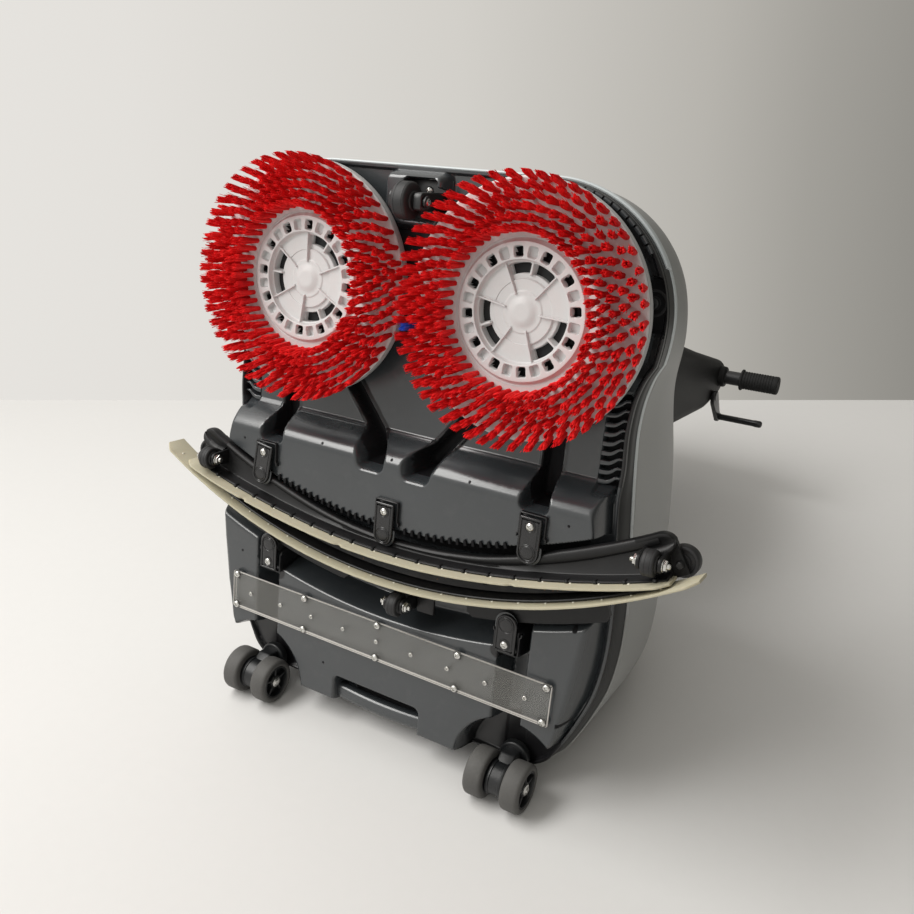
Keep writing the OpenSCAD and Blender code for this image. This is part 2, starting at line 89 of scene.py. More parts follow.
def box_sdf(x, y, cx, cy, hx, hy, r=0.0):
    qx, qy = np.abs(x - cx) - hx + r, np.abs(y - cy) - hy + r
    return np.hypot(np.maximum(qx, 0), np.maximum(qy, 0)) + np.minimum(np.maximum(qx, qy), 0) - r


def seg_sdf(x, y, a, b):
    ax, ay = a
    bx, by = b
    dx, dy = bx - ax, by - ay
    t = np.clip(((x - ax) * dx + (y - ay) * dy) / (dx * dx + dy * dy), 0, 1)
    return np.hypot(x - ax - t * dx, y - ay - t * dy)


def catmull(pts, n=12):
    p = np.asarray(pts, float)
    q = np.vstack([2 * p[0] - p[1], p, 2 * p[-1] - p[-2]])
    out = []
    for i in range(1, len(q) - 2):
        for k in range(n):
            t = k / n
            a, b, c, d = q[i - 1], q[i], q[i + 1], q[i + 2]
            out.append(0.5 * (2 * b + (c - a) * t + (2 * a - 5 * b + 4 * c - d) * t * t + (3 * b - a - 3 * c + d) * t ** 3))
    out.append(q[-2])
    return np.array(out)


# ------------------------------------------------------------------ mesh makers
def build(name, verts, faces, mat, body, rep=(), slot=None, smooth=True, angle=35.0, mats=None, fmat=None, raw=False):
    me = bpy.data.meshes.new(name)
    v = np.asarray(verts, float) if raw else row(verts)
    me.from_pydata(v.tolist(), [], [list(map(int, f)) for f in faces])
    me.validate()
    ob = bpy.data.objects.new(name, me)
    bpy.context.scene.collection.objects.link(ob)
    for m in (mats or [mat]):
        me.materials.append(m)
    if fmat is not None:
        me.polygons.foreach_set("material_index", np.asarray(fmat, np.int32))
    if smooth:
        me.shade_smooth()
        if angle is not None:
            me.set_sharp_from_angle(angle=math.radians(angle))
    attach(ob, body)
    if rep:
        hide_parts(*([rep] if isinstance(rep, str) else rep))
    return ob


class Soup:
    """Collects several shells into one mesh."""

    def __init__(self):
        self.v, self.f, self.m, self.n = [], [], [], 0

    def add(self, verts, faces, mat=0):
        verts = np.asarray(verts, float)
        self.v.append(verts)
        self.f += [[i + self.n for i in f] for f in faces]
        self.m += [mat] * len(faces)
        self.n += len(verts)
        return self

    def mesh(self, name, mats, body, **kw):
        return build(name, np.vstack(self.v), self.f, None, body, mats=mats, fmat=self.m, **kw)


def loft(loops, cap0=True, cap1=True, closed=True):
    loops = [np.asarray(l, float) for l in loops]
    n = len(loops[0])
    v = np.vstack(loops)
    f = []
    for k in range(len(loops) - 1):
        a, b = k * n, (k + 1) * n
        for i in range(n if closed else n - 1):
            j = (i + 1) % n
            f.append((a + i, a + j, b + j, b + i))
    if cap0:
        f.append(tuple(range(n - 1, -1, -1)))
    if cap1:
        f.append(tuple(range((len(loops) - 1) * n, len(loops) * n)))
    return v, f


def inset(poly, d):
    """Moves a closed anticlockwise outline inwards by d."""
    p = np.asarray(poly, float)
    a, b = np.roll(p, 1, 0), np.roll(p, -1, 0)
    e0, e1 = p - a, b - p
    n0 = np.stack([-e0[:, 1], e0[:, 0]], 1) / np.maximum(np.linalg.norm(e0, axis=1, keepdims=True), 1e-9)
    n1 = np.stack([-e1[:, 1], e1[:, 0]], 1) / np.maximum(np.linalg.norm(e1, axis=1, keepdims=True), 1e-9)
    m = n0 + n1
    m /= np.maximum(np.linalg.norm(m, axis=1, keepdims=True), 1e-9)
    c = np.clip((m * n0).sum(1, keepdims=True), 0.5, 1)
    return p + m * d / c


def ccw(poly):
    p = np.asarray(poly, float)
    x, y = p[:, 0], p[:, 1]
    return p if np.sum(x * np.roll(y, -1) - np.roll(x, -1) * y) > 0 else p[::-1]


def rounded(poly, r, n=6):
    """Closed outline with each corner rounded by r (a number or one per corner)."""
    p = ccw(poly)
    rs = [r] * len(p) if np.isscalar(r) else list(r)
    out = []
    for i in range(len(p)):
        a, b, c = p[i - 1], p[i], p[(i + 1) % len(p)]
        u, v = a - b, c - b
        lu, lv = np.linalg.norm(u), np.linalg.norm(v)
        u, v = u / lu, v / lv
        ang = math.acos(max(-1, min(1, float(u @ v))))
        if rs[i] <= 0 or abs(math.pi - ang) < 0.02:
            out.append(b)
            continue
        d = min(rs[i] / math.tan(ang / 2), lu * 0.49, lv * 0.49)
        rr = d * math.tan(ang / 2)
        s, e = b + u * d, b + v * d
        bis = (u + v) / np.linalg.norm(u + v)
        cc = b + bis * (rr / math.sin(ang / 2))
        a0 = math.atan2(s[1] - cc[1], s[0] - cc[0])
        a1 = math.atan2(e[1] - cc[1], e[0] - cc[0])
        da = (a1 - a0 + math.pi) % (2 * math.pi) - math.pi
        for k in range(n + 1):
            t = a0 + da * k / n
            out.append(cc + rr * np.array([math.cos(t), math.sin(t)]))
    return np.array(out)


def plate(poly, z0, z1, b0=0.0, b1=0.0, nb=3):
    """A plate between z0 and z1 with rounded lower and upper edges."""
    p = ccw(poly)
    loops = []

    def lay(d, z):
        q = inset(p, d) if d else p
        loops.append(np.column_stack([q, np.full(len(q), z)]))

    for k in range(nb + 1 if b0 else 1):
        t = (k / nb) * math.pi / 2 if b0 else math.pi / 2
        lay(b0 * (1 - math.sin(t)), z0 + b0 * (1 - math.cos(t)))
    for k in range(nb + 1 if b1 else 1):
        t = (k / nb) * math.pi / 2 if b1 else 0
        lay(b1 * (1 - math.cos(t)), z1 - b1 * (1 - math.sin(t)) if b1 else z1)
    return loft(loops)


def lathe(profile, n=48, a0=0.0):
    """Profile of (r, h) about z; ends with r = 0 close to a point."""
    v, f = [], []
    rows = []
    for r, h in profile:
        if r <= 1e-6:
            rows.append([len(v)])
            v.append((0, 0, h))
        else:
            rows.append(list(range(len(v), len(v) + n)))
            for i in range(n):
                t = a0 + 2 * math.pi * i / n
                v.append((r * math.cos(t), r * math.sin(t), h))
    for a, b in zip(rows, rows[1:]):
        for i in range(n):
            j = (i + 1) % n
            if len(a) == 1 and len(b) == 1:
                continue
            if len(a) == 1:
                f.append((a[0], b[j], b[i]))
            elif len(b) == 1:
                f.append((a[i], a[j], b[0]))
            else:
                f.append((a[i], a[j], b[j], b[i]))
    return np.array(v, float), f


def place(v, pos, axis="z", flip=False):
    """Turns a z-axis shape to another axis and moves it."""
    v = np.array(v, float)
    if flip:
        v = v * np.array([1, -1, -1])
    if axis == "x":
        v = v[:, [2, 0, 1]]
    elif axis == "y":
        v = v[:, [1, 2, 0]]
    return v + np.asarray(pos, float)


def spun(v, deg):
    a = math.radians(deg)
    v = np.array(v, float)
    x, y = v[:, 0].copy(), v[:, 1].copy()
    v[:, 0], v[:, 1] = x * math.cos(a) - y * math.sin(a), x * math.sin(a) + y * math.cos(a)
    return v


def cbox(x0, x1, y0, y1, z0, z1, b=0.6):
    """A box with bevelled edges."""
    return plate(rounded([(x0, y0), (x1, y0), (x1, y1), (x0, y1)], min(b, 0.4 * (x1 - x0), 0.4 * (y1 - y0)), 2), z0, z1, min(b, 0.4 * (z1 - z0)), min(b, 0.4 * (z1 - z0)), 2)


def tube(path, r, n=12, caps=True):
    """Round tube along a 3-D path."""
    p = np.asarray(path, float)
    t = np.gradient(p, axis=0)
    t /= np.linalg.norm(t, axis=1, keepdims=True)
    up = np.array([0, 0, 1.0]) if abs(t[0][2]) < 0.9 else np.array([1.0, 0, 0])
    loops = []
    u = np.cross(up, t[0])
    for k in range(len(p)):
        u = u - t[k] * (u @ t[k])
        u /= np.linalg.norm(u)
        w = np.cross(t[k], u)
        rr = r[k] if hasattr(r, "__len__") else r
        a = np.linspace(0, 2 * math.pi, n, endpoint=False)
        loops.append(p[k] + rr * (np.outer(np.cos(a), u) + np.outer(np.sin(a), w)))
    return loft(loops, caps, caps)


# ------------------------------------------------------------------ materials
def material(name, color, rough=0.45, metal=0.0, bump=0.0, scale=400.0, var=0.06, rough_var=0.08, detail=4.0,
             coat=0.0, spec=0.5, dust=0.0, dust_color=(0.45, 0.44, 0.42), alpha=1.0, trans=0.0, sss=0.0, sss_color=None,
             stretch=None, ior=None, blotch=9.0, wear=0.0, wear_color=(0.4, 0.4, 0.4)):
    m = bpy.data.materials.new(name)
    m.use_nodes = True
    nt = m.node_tree
    nt.nodes.clear()
    out = nt.nodes.new("ShaderNodeOutputMaterial")
    bs = nt.nodes.new("ShaderNodeBsdfPrincipled")
    nt.links.new(bs.outputs[0], out.inputs[0])
    tc = nt.nodes.new("ShaderNodeTexCoord")
    src = tc.outputs["Object"]
    if stretch:
        mp = nt.nodes.new("ShaderNodeMapping")
        mp.inputs["Scale"].default_value = stretch
        nt.links.new(src, mp.inputs[0])
        src = mp.outputs[0]
    fine = nt.nodes.new("ShaderNodeTexNoise")
    fine.inputs["Scale"].default_value = scale
    fine.inputs["Detail"].default_value = detail
    nt.links.new(src, fine.inputs["Vector"])
    big = nt.nodes.new("ShaderNodeTexNoise")
    big.inputs["Scale"].default_value = blotch
    big.inputs["Detail"].default_value = 5.0
    nt.links.new(tc.outputs["Object"], big.inputs["Vector"])
    # colour: two close tones mixed by a broad and a fine noise
    ramp_c = nt.nodes.new("ShaderNodeValToRGB")
    lo = [max(0.0, c * (1 - var)) for c in color]
    hi = [min(1.0, c * (1 + var)) for c in color]
    ramp_c.color_ramp.elements[0].color = (*lo, 1)
    ramp_c.color_ramp.elements[1].color = (*hi, 1)
    ramp_c.color_ramp.elements[0].position = 0.3
    ramp_c.color_ramp.elements[1].position = 0.7
    mixv = nt.nodes.new("ShaderNodeMath")
    mixv.operation = "MULTIPLY_ADD"
    mixv.inputs[1].default_value = 0.35
    nt.links.new(fine.outputs["Fac"], mixv.inputs[0])
    sc = nt.nodes.new("ShaderNodeMath")
    sc.operation = "MULTIPLY"
    sc.inputs[1].default_value = 0.65
    nt.links.new(big.outputs["Fac"], sc.inputs[0])
    nt.links.new(sc.outputs[0], mixv.inputs[2])
    nt.links.new(mixv.outputs[0], ramp_c.inputs[0])
    col = ramp_c.outputs[0]
    if dust:
        dn = nt.nodes.new("ShaderNodeTexNoise")
        dn.inputs["Scale"].default_value = 38.0
        dn.inputs["Detail"].default_value = 8.0
        dn.inputs["Roughness"].default_value = 0.7
        nt.links.new(tc.outputs["Object"], dn.inputs["Vector"])
        dr = nt.nodes.new("ShaderNodeValToRGB")
        dr.color_ramp.elements[0].position = 0.52
        dr.color_ramp.elements[1].position = 0.78
        dr.color_ramp.elements[1].color = (dust, dust, dust, 1)
        dr.color_ramp.elements[0].color = (0, 0, 0, 1)
        nt.links.new(dn.outputs["Fac"], dr.inputs[0])
        mx = nt.nodes.new("ShaderNodeMix")
        mx.data_type = "RGBA"
        mx.inputs[7].default_value = (*dust_color, 1)
        nt.links.new(dr.outputs[0], mx.inputs[0])
        nt.links.new(col, mx.inputs[6])
        col = mx.outputs[2]
    if wear:
        ge = nt.nodes.new("ShaderNodeNewGeometry")
        wr = nt.nodes.new("ShaderNodeValToRGB")
        wr.color_ramp.elements[0].position = 0.54
        wr.color_ramp.elements[1].position = 0.62
        wr.color_ramp.elements[0].color = (0, 0, 0, 1)
        wr.color_ramp.elements[1].color = (wear, wear, wear, 1)
        nt.links.new(ge.outputs["Pointiness"], wr.inputs[0])
        mw = nt.nodes.new("ShaderNodeMix")
        mw.data_type = "RGBA"
        mw.inputs[7].default_value = (*wear_color, 1)
        nt.links.new(wr.outputs[0], mw.inputs[0])
        nt.links.new(col, mw.inputs[6])
        col = mw.outputs[2]
    nt.links.new(col, bs.inputs["Base Color"])
    if rough_var:
        rr = nt.nodes.new("ShaderNodeMapRange")
        rr.inputs["To Min"].default_value = max(0.02, rough - rough_var)
        rr.inputs["To Max"].default_value = min(1.0, rough + rough_var)
        nt.links.new(mixv.outputs[0], rr.inputs["Value"])
        nt.links.new(rr.outputs[0], bs.inputs["Roughness"])
    else:
        bs.inputs["Roughness"].default_value = rough
    bs.inputs["Metallic"].default_value = metal
    bs.inputs["Specular IOR Level"].default_value = spec
    if coat:
        bs.inputs["Coat Weight"].default_value = coat
        bs.inputs["Coat Roughness"].default_value = 0.18
    if ior:
        bs.inputs["IOR"].default_value = ior
    if trans:
        bs.inputs["Transmission Weight"].default_value = trans
    if alpha < 1:
        bs.inputs["Alpha"].default_value = alpha
    if sss:
        bs.inputs["Subsurface Weight"].default_value = sss
        bs.inputs["Subsurface Radius"].default_value = sss_color or (1.0, 0.5, 0.3)
        bs.inputs["Subsurface Scale"].default_value = 0.004
    if bump:
        bp = nt.nodes.new("ShaderNodeBump")
        bp.inputs["Strength"].default_value = bump
        bp.inputs["Distance"].default_value = 0.0006
        nt.links.new(fine.outputs["Fac"], bp.inputs["Height"])
        nt.links.new(bp.outputs[0], bs.inputs["Normal"])
    return m


M = {}
M["chassis"] = material("chassis_plastic", (0.031, 0.0355, 0.039), 0.25, bump=0.05, scale=900, var=0.10, rough_var=0.05, dust=0.07, dust_color=(0.16, 0.16, 0.155), spec=0.85)
M["dark"] = material("deep_shadow", (0.006, 0.006, 0.007), 0.7, bump=0.1, scale=500, spec=0.2)
M["channel"] = material("channel_dirt", (0.034, 0.034, 0.035), 0.55, bump=0.25, scale=240, dust=0.40, dust_color=(0.12, 0.112, 0.10), spec=0.35)
M["tank"] = material("tank_plastic", (0.29, 0.295, 0.288), 0.42, bump=0.10, scale=700, var=0.05, rough_var=0.05, spec=0.45)
# pale lip of the tank; part of its paleness is a painted highlight along the edge
M["trim"] = material("tank_lip_highlight", (0.52, 0.56, 0.57), 0.35, bump=0.05, scale=700, var=0.04)
M["board"] = material("board_plastic", (0.57, 0.565, 0.565), 0.42, bump=0.06, scale=600, var=0.035, dust=0.06, dust_color=(0.45, 0.40, 0.38))
M["red"] = material("red_bristle", (0.68, 0.011, 0.014), 0.62, bump=0.55, scale=1900, var=0.26, rough_var=0.08, spec=0.12, blotch=120, stretch=(1, 0.08, 1))
M["red2"] = material("red_bristle_worn", (0.84, 0.024, 0.025), 0.60, bump=0.55, scale=1900, var=0.24, rough_var=0.08, spec=0.12, blotch=120, stretch=(1, 0.08, 1))
M["bluebristle"] = material("blue_bristle", (0.02, 0.08, 0.50), 0.42, bump=0.5, scale=1900, var=0.2, stretch=(1, 0.08, 1))
M["black"] = material("black_plastic", (0.0085, 0.0085, 0.0095), 0.30, bump=0.10, scale=520, var=0.25, rough_var=0.10, dust=0.10, dust_color=(0.06, 0.058, 0.054), spec=0.55)
M["sqz"] = material("squeegee_plastic", (0.0075, 0.0075, 0.008), 0.42, bump=0.14, scale=520, var=0.25, rough_var=0.10, dust=0.14, dust_color=(0.045, 0.043, 0.04), spec=0.35)
M["blackmatte"] = material("black_matte", (0.012, 0.012, 0.013), 0.55, bump=0.2, scale=420, var=0.25, dust=0.25, dust_color=(0.055, 0.052, 0.048), spec=0.4)
M["blade"] = material("blade_gum", (0.43, 0.40, 0.295), 0.45, bump=0.12, scale=260, var=0.07, dust=0.22, dust_color=(0.30, 0.28, 0.22), sss=0.08, sss_color=(1.0, 0.75, 0.4))
M["rubber"] = material("wheel_rubber", (0.088, 0.086, 0.082), 0.62, bump=0.35, scale=380, var=0.14, dust=0.30, dust_color=(0.17, 0.165, 0.155), spec=0.35)
M["rubberdark"] = material("roller_rubber", (0.018, 0.018, 0.019), 0.55, bump=0.25, scale=380, var=0.2, dust=0.22, dust_color=(0.07, 0.066, 0.06), spec=0.4)
M["hub"] = material("hub_plastic", (0.010, 0.011, 0.012), 0.38, bump=0.12, scale=500, var=0.2, dust=0.12, dust_color=(0.06, 0.06, 0.06))
M["steel"] = material("zinc_steel", (0.66, 0.655, 0.63), 0.26, metal=1.0, bump=0.06, scale=900, var=0.08, rough_var=0.10, stretch=(1, 1, 6))
M["steeldull"] = material("dull_steel", (0.40, 0.40, 0.39), 0.42, metal=1.0, bump=0.12, scale=700, var=0.10, rough_var=0.10)
M["clear"] = material("clear_sheet", (0.40, 0.395, 0.37), 0.14, bump=0.05, scale=150, var=0.05, rough_var=0.06, alpha=0.15, spec=0.6, dust=0.15, dust_color=(0.50, 0.48, 0.44), blotch=26)
# pale edge colour of the clear sheet, partly a painted highlight
M["clearedge"] = material("sheet_edge_highlight", (0.56, 0.54, 0.51), 0.20, bump=0.04, scale=300, var=0.06, rough_var=0.06, spec=0.6)
M["console"] = material("console_plastic", (0.005, 0.005, 0.005), 0.50, bump=0.30, scale=820, var=0.10, rough_var=0.06, spec=0.2)
M["bar"] = material("bar_paint", (0.016, 0.016, 0.017), 0.40, bump=0.15, scale=900, var=0.15)
M["grip"] = material("grip_rubber", (0.010, 0.010, 0.010), 0.70, bump=0.45, scale=600, var=0.2, spec=0.3)
M["blue"] = material("blue_plastic", (0.035, 0.21, 0.50), 0.32, bump=0.05, scale=600, var=0.07)
M["green"] = material("green_plastic", (0.02, 0.26, 0.07), 0.30, bump=0.05, scale=600, var=0.07)
M["foot"] = material("foot_rubber", (0.022, 0.022, 0.023), 0.70, bump=0.4, scale=350, var=0.15)
M["motor"] = material("motor_paint", (0.05, 0.052, 0.056), 0.40, bump=0.1, scale=500, var=0.12)
M["cast"] = material("cast_alloy", (0.50, 0.51, 0.52), 0.48, metal=0.85, bump=0.3, scale=320, var=0.08)
M["battery"] = material("battery_case", (0.018, 0.018, 0.02), 0.55, bump=0.2, scale=400, var=0.15)
M["inner"] = material("inner_tank", (0.50, 0.52, 0.53), 0.45, bump=0.1, scale=300, var=0.06)

# every CAD node starts with a finished material; many are replaced further down
NODE_MAT = {
    "left_gearbox": "cast", "right_gearbox": "cast", "left_motor": "motor", "right_motor": "motor", "vacuum_motor": "motor",
    "battery_pack": "battery", "recovery_tank": "inner", "suction_duct": "black", "tail_foot": "foot",
    "chassis_shell": "chassis", "tank_body": "tank", "front_roller_bracket": "chassis", "splash_strip": "clear",
    "strip_fasteners": "steel", "roller_axles": "steel", "latch_screws": "steel", "hinge_pins": "steeldull", "filler_cap": "blue",
    "left_brush_board": "board", "right_brush_board": "board", "left_bristles": "red", "right_bristles": "red",
    "left_spindle": "steeldull", "right_spindle": "steeldull", "left_pinion": "steeldull", "right_pinion": "steeldull",
    "squeegee_frame": "black", "front_blade": "blade", "rear_blade": "blade", "blade_clamp": "black", "roller_bolts": "steel",
    "left_caster_fork": "hub", "right_caster_fork": "hub", "left_caster_axle": "steel", "right_caster_axle": "steel",
    "handle_column": "console", "handle_bar": "bar", "handle_grips": "grip", "drive_lever": "black", "solution_knob": "blue",
    "start_button": "green", "suction_button": "blue",
}
for n, ob in NODE.items():
    key = NODE_MAT.get(n)
    if key is None:
        key = "black" if "latch" in n else "rubber" if "caster" in n or n.endswith(("outer_wheel", "inner_wheel")) else "rubberdark"
    ob.data.materials.clear()
    ob.data.materials.append(M[key])

# ------------------------------------------------------------------ body outline
def half_outline(tail=541.0):
    pts = []
    for a in np.linspace(-90, 0, 46):
        q = (a + 90) / 90
        r = 137 + 8 * q * q * (3 - 2 * q)
        pts.append((143 + r * math.cos(math.radians(a)), r * math.sin(math.radians(a))))
    for a in (5, 10, 15):
        r = 145 + 1.33 * (a / 15) ** 2
        pts.append((143 + r * math.cos(math.radians(a)), r * math.sin(math.radians(a))))
    flank = [(284.3, 37.9), (276, 56), (270, 82), (267.8, 112), (269, 140), (271.4, 169), (274.6, 202), (278, 236), (282.3, 272), (285.6, 308),
             (286.9, 338), (286.4, 368), (283.4, 397), (278, 424), (268, 453), (254.5, 485), (236, 518), (214, tail - 6), (198, tail)]
    c = catmull(flank, 10)
    return np.vstack([pts, c[1:]])


HALF = half_outline()
_y = np.maximum.accumulate(HALF[:, 1] + np.arange(len(HALF)) * 1e-7)


def width(y):
    return np.interp(y, _y, HALF[:, 0])


def slope(y):
    return (width(y + 0.8) - width(y - 0.8)) / 1.6


def dist_in(x, y):
    d = (width(y) - np.abs(x)) / np.sqrt(1 + np.minimum(np.abs(slope(y)), 60) ** 2)
    d = np.minimum(d, y + 137.0)
    return np.minimum(d, 541.0 - y)

# ------------------------------------------------------------------ chassis
TAIL = 541.0
COMB0, COMB1 = -172.0, 162.0


def H(t, r0=0.3, r1=0.3):
    return 35.0 + 43.0 * ramp(t, r0, r1)


W_Y = [150, 190, 215, 260, 315, 360, 420, 475, 487, 545]
W_X = [249, 253.5, 258.5, 263.5, 266.5, 263, 255.5, 244, 239, 214]


def rim_w(y):
    """Half width at the rim, where the underside ends; the wall above it flares out to the seam."""
    return width(y) - (1.5 * ramp((y - 40) / 30, 0.3, 0.3) + 5.5 * ramp((y - 152) / 36, 0.3, 0.3)) * ramp((541.5 - y) / 30, 0.3, 0.3)


def channels(ax, y):
    """Signed distances to the straight and the slanting channels of the front block."""
    g1 = box_sdf(ax, y, 184.5, 125, 17.0, 85, 8)
    d = smin(seg_sdf(ax, y, (138, 58), (33.0, 191)) - 20.0, seg_sdf(ax, y, (32, 193), (32, 240)) - 18.0, 6)
    e = y - 213.5
    g2 = np.minimum(np.maximum(d + 8, e + 8), 0) + np.hypot(np.maximum(d + 8, 0), np.maximum(e + 8, 0)) - 8
    return g1, g2


def bead(d, w):
    return np.clip(1 - (d / w) ** 2, 0, 1) ** 2


def chassis_z(x, y):
    ax = np.abs(x)
    r = np.hypot(x, y + ARC_C)
    w = rim_w(y)
    din = np.minimum((w - ax) / np.sqrt(1 + np.minimum(np.abs(slope(y)), 60) ** 2), np.minimum(y + 137.0, 541.0 - y))
    face = np.interp(y, W_Y, W_X)
    side = 35 + 43.5 * ramp((ax - face + 2.0) / np.maximum(w - 7.0 - face + 2.0, 4.0), 0.62, 0.16)
    # front block
    fb = smax(H((192 - y) / 21.5, 0.62, 0.10), side, 9)
    fb = smax(fb, H((r - 616.6) / 5.0, 0.3, 0.2), 3)
    # rear centre block
    rc = smax(H((735 - r) / 13, 0.4, 0.2), H((ax - 163.0) / 5, 0.5, 0.3), 5)
    rc = smax(rc, H((y - 537) / 7, 0.45, 0.3), 4)
    # rear side blocks
    rs = smax(H((714 - r) / 13, 0.45, 0.2), H((200 - ax) / 5, 0.5, 0.3), 5)
    rs = smax(rs, side, 9)
    z = np.minimum(np.minimum(fb, rc), rs)
    # pedestals under the rear latches
    ped = H(box_sdf(ax, y, 174, 370, 15, 18, 3) / 4 + 0.3, 0.4, 0.3)
    z = np.minimum(z, ped)
    # channels that run from the deck into the front block, deeper than the deck
    g1, g2 = channels(ax, y)
    deck = ramp((z - 70) / 6) * ramp((200 - y) / 4)
    z = z - deck * np.maximum(2.6 * bead(g2 + 8.6, 3.2), 2.2 * bead(g1 + 3.4, 3.0))
    z = z - 1.5 * bead(y - 170.2, 1.9) * (g1 > -5) * (g2 > -9) * (ax < 246)
    z = smax(z, 34.5 + 56 * ramp(-g1 / 8.5 + 0.08, 0.36, 0.2), 4)
    z = smax(z, 34.5 + 57 * ramp(-g2 / 15.5 + 0.05, 0.28, 0.2), 4)
    # wheel arches and the grip recess
    arch = np.hypot(ax - 191, y - 540) - 70.5
    z = smax(z, 35 + 43 * ramp(-arch / 7 + 0.2, 0.35, 0.3), 3.5)
    grip = box_sdf(x, y, 0, 540, 64, 37.5, 7)
    z = smax(z, 35 + 47 * ramp(-grip / 6.5 + 0.2, 0.35, 0.3), 3.5)
    # boss and pocket of the front roller
    boss = box_sdf(x, y, -12.0, -101, 37.0, 28, 7)
    z = np.where(boss < 9, np.minimum(z, 57 + 21 * ramp(boss / 7 + 0.25, 0.4, 0.2)), z)
    pock = np.minimum(box_sdf(x, y, -3, -102, 20.5, 22, 4), box_sdf(x, y, 16, -103, 11, 12.5, 3))
    z = np.where(pock < 4, smax(z, 56 + 26 * ramp(-pock / 3.0 + 0.4, 0.4, 0.3), 2), z)
    # louvre trenches and the pockets of the side rollers
    tr = np.minimum(box_sdf(ax, y, 251.5, 127, 12.0, 55, 5), box_sdf(ax, y, 272.5, -22, 10.5, 28, 3))
    z = np.where(y < 180, z + 9 * ramp(-tr / 2.5 + 0.5), z)
    # rim that hangs round the deck
    rim = 72.5 + 6 * ramp((din - 3.6) / 1.8, 0.4, 0.4)
    keep = (grip < 4) | (box_sdf(ax, y, 280, -22, 22, 29, 3) < 0)
    return np.where(din < 6.4, np.minimum(z, np.where(keep, z, rim)), z)


ys = [-137 + 0.05 * k * k for k in range(9)]
ys += list(np.arange(-132.4, -68, 1.5)) + list(np.arange(-67, 56, 2.6)) + list(np.arange(58, 168, 1.6)) + list(np.arange(168, TAIL - 0.4, 1.3)) + [TAIL]
ys = np.array(ys)
NI, NO = 330, 36
Y = np.repeat(ys[:, None], NI + 2 * NO + 1, 1)
NC = NI + 2 * NO
wr = rim_w(ys)
zone = np.minimum(40.0, 0.3 * wr)
t_in = np.linspace(-1, 1, NI + 1)
t_out = np.linspace(0, 1, NO + 1)[1:]
X = np.hstack([-(wr[:, None] - zone[:, None]) - zone[:, None] * t_out[::-1][None, :],
               (wr[:, None] - zone[:, None]) * t_in[None, :],
               (wr[:, None] - zone[:, None]) + zone[:, None] * t_out[None, :]])
Z = chassis_z(X, Y)
Z[:, 0] = Z[:, -1] = 73.8
Z[0, :] = Z[-1, :] = 73.8
nr = len(ys)
cv = np.stack([X, Y, Z], -1).reshape(-1, 3)
idx = np.arange(nr * (NC + 1)).reshape(nr, NC + 1)
cf = np.stack([idx[:-1, :-1], idx[1:, :-1], idx[1:, 1:], idx[:-1, 1:]], -1).reshape(-1, 4).tolist()
# side wall, from the edge of the underside out to the seam; its darker material paints shade on it
edge = list(idx[0, :]) + list(idx[1:, -1]) + list(idx[-1, -2::-1]) + list(idx[-2:0:-1, 0])
loop = cv[edge][:, :2]
outer = loop.copy()
outer[:, 0] = np.where(np.abs(loop[:, 0]) > 0.999 * rim_w(loop[:, 1]), np.sign(loop[:, 0]) * width(loop[:, 1]), loop[:, 0])
fc = cv[np.asarray(cf)]
fz, fx, fy = fc[:, :, 2].min(1), fc[:, :, 0].mean(1), fc[:, :, 1].mean(1)
fr0 = np.hypot(fx, fy + ARC_C)
soup = Soup().add(cv, cf)
c1, c2 = channels(np.abs(fx), fy)
fdin = (rim_w(fy) - np.abs(fx)) / np.sqrt(1 + np.minimum(np.abs(slope(fy)), 60) ** 2)
# material 1 paints deep shade on faces sunk below the deck and on the rear wall of the front block behind the comb
fm_ = ((fz > 80.5) | ((fr0 > 614.5) & (fr0 < 640) & (np.abs(fx) < 240) & (fc[:, :, 2].max(1) > 38.5))).astype(int)
# material 2 paints black shade inside the channels
fm_ = np.where((fm_ == 0) & ((c1 < -3.4) | (c2 < -5.0)) & (fy > 56), 2, fm_)
# and on the rim round the nose and along the front flanks
fm_ = np.where((fm_ == 0) & (((fdin < 12) & (fy < 52)) | ((fdin < 6.5) & (fy < 170))) & (fy > -136), 2, fm_)
farch = np.hypot(np.abs(fx) - 191, fy - 540) - 70.5
fped = box_sdf(np.abs(fx), fy, 174, 370, 15, 18, 3)
# and inside the wheel arches and in the recess ring round the latch pedestals
fm_ = np.where((fm_ == 0) & ((farch < -2.5) | ((fped < 6) & (fped > -3.5))), 2, fm_)
fpk = np.minimum(box_sdf(fx, fy, -3, -102, 20.5, 22, 4), box_sdf(fx, fy, 16, -103, 11, 12.5, 3))
# and in the pocket of the front roller
fm_ = np.where((fm_ == 0) & (fpk < 0.5), 2, fm_)
soup.m = fm_.tolist()
base = edge
wall = [cv[edge]]
for t_, off, z in [(0, 0, 75), (0.02, 0, 78.5), (0.06, 1.2, 79.4), (0.1, 1.2, 80.6), (0.14, 0, 81.6), (0.5, 0, 89.5), (0.85, 0, 96), (1, 0, 99.5), (1, 0.4, 100.6), (1, 2.6, 101.4), (1, 3.2, 102.4), (1, 3.2, 105)]:
    q = loop * (1 - t_) + outer * t_
    q = inset(q, off) if off else q
    wall.append(np.column_stack([q, np.full(len(q), z)]))
wv, wf = loft(wall, False, False)
soup.add(wv, wf, 3)
# a darker copy of the chassis plastic: painted shade on the side wall and on the seam gap above it
M["wall"] = material("chassis_wall_shaded", (0.0150, 0.0155, 0.0150), 0.36, bump=0.08, scale=820, var=0.12, rough_var=0.06, dust=0.05, dust_color=(0.09, 0.088, 0.08), spec=0.4)


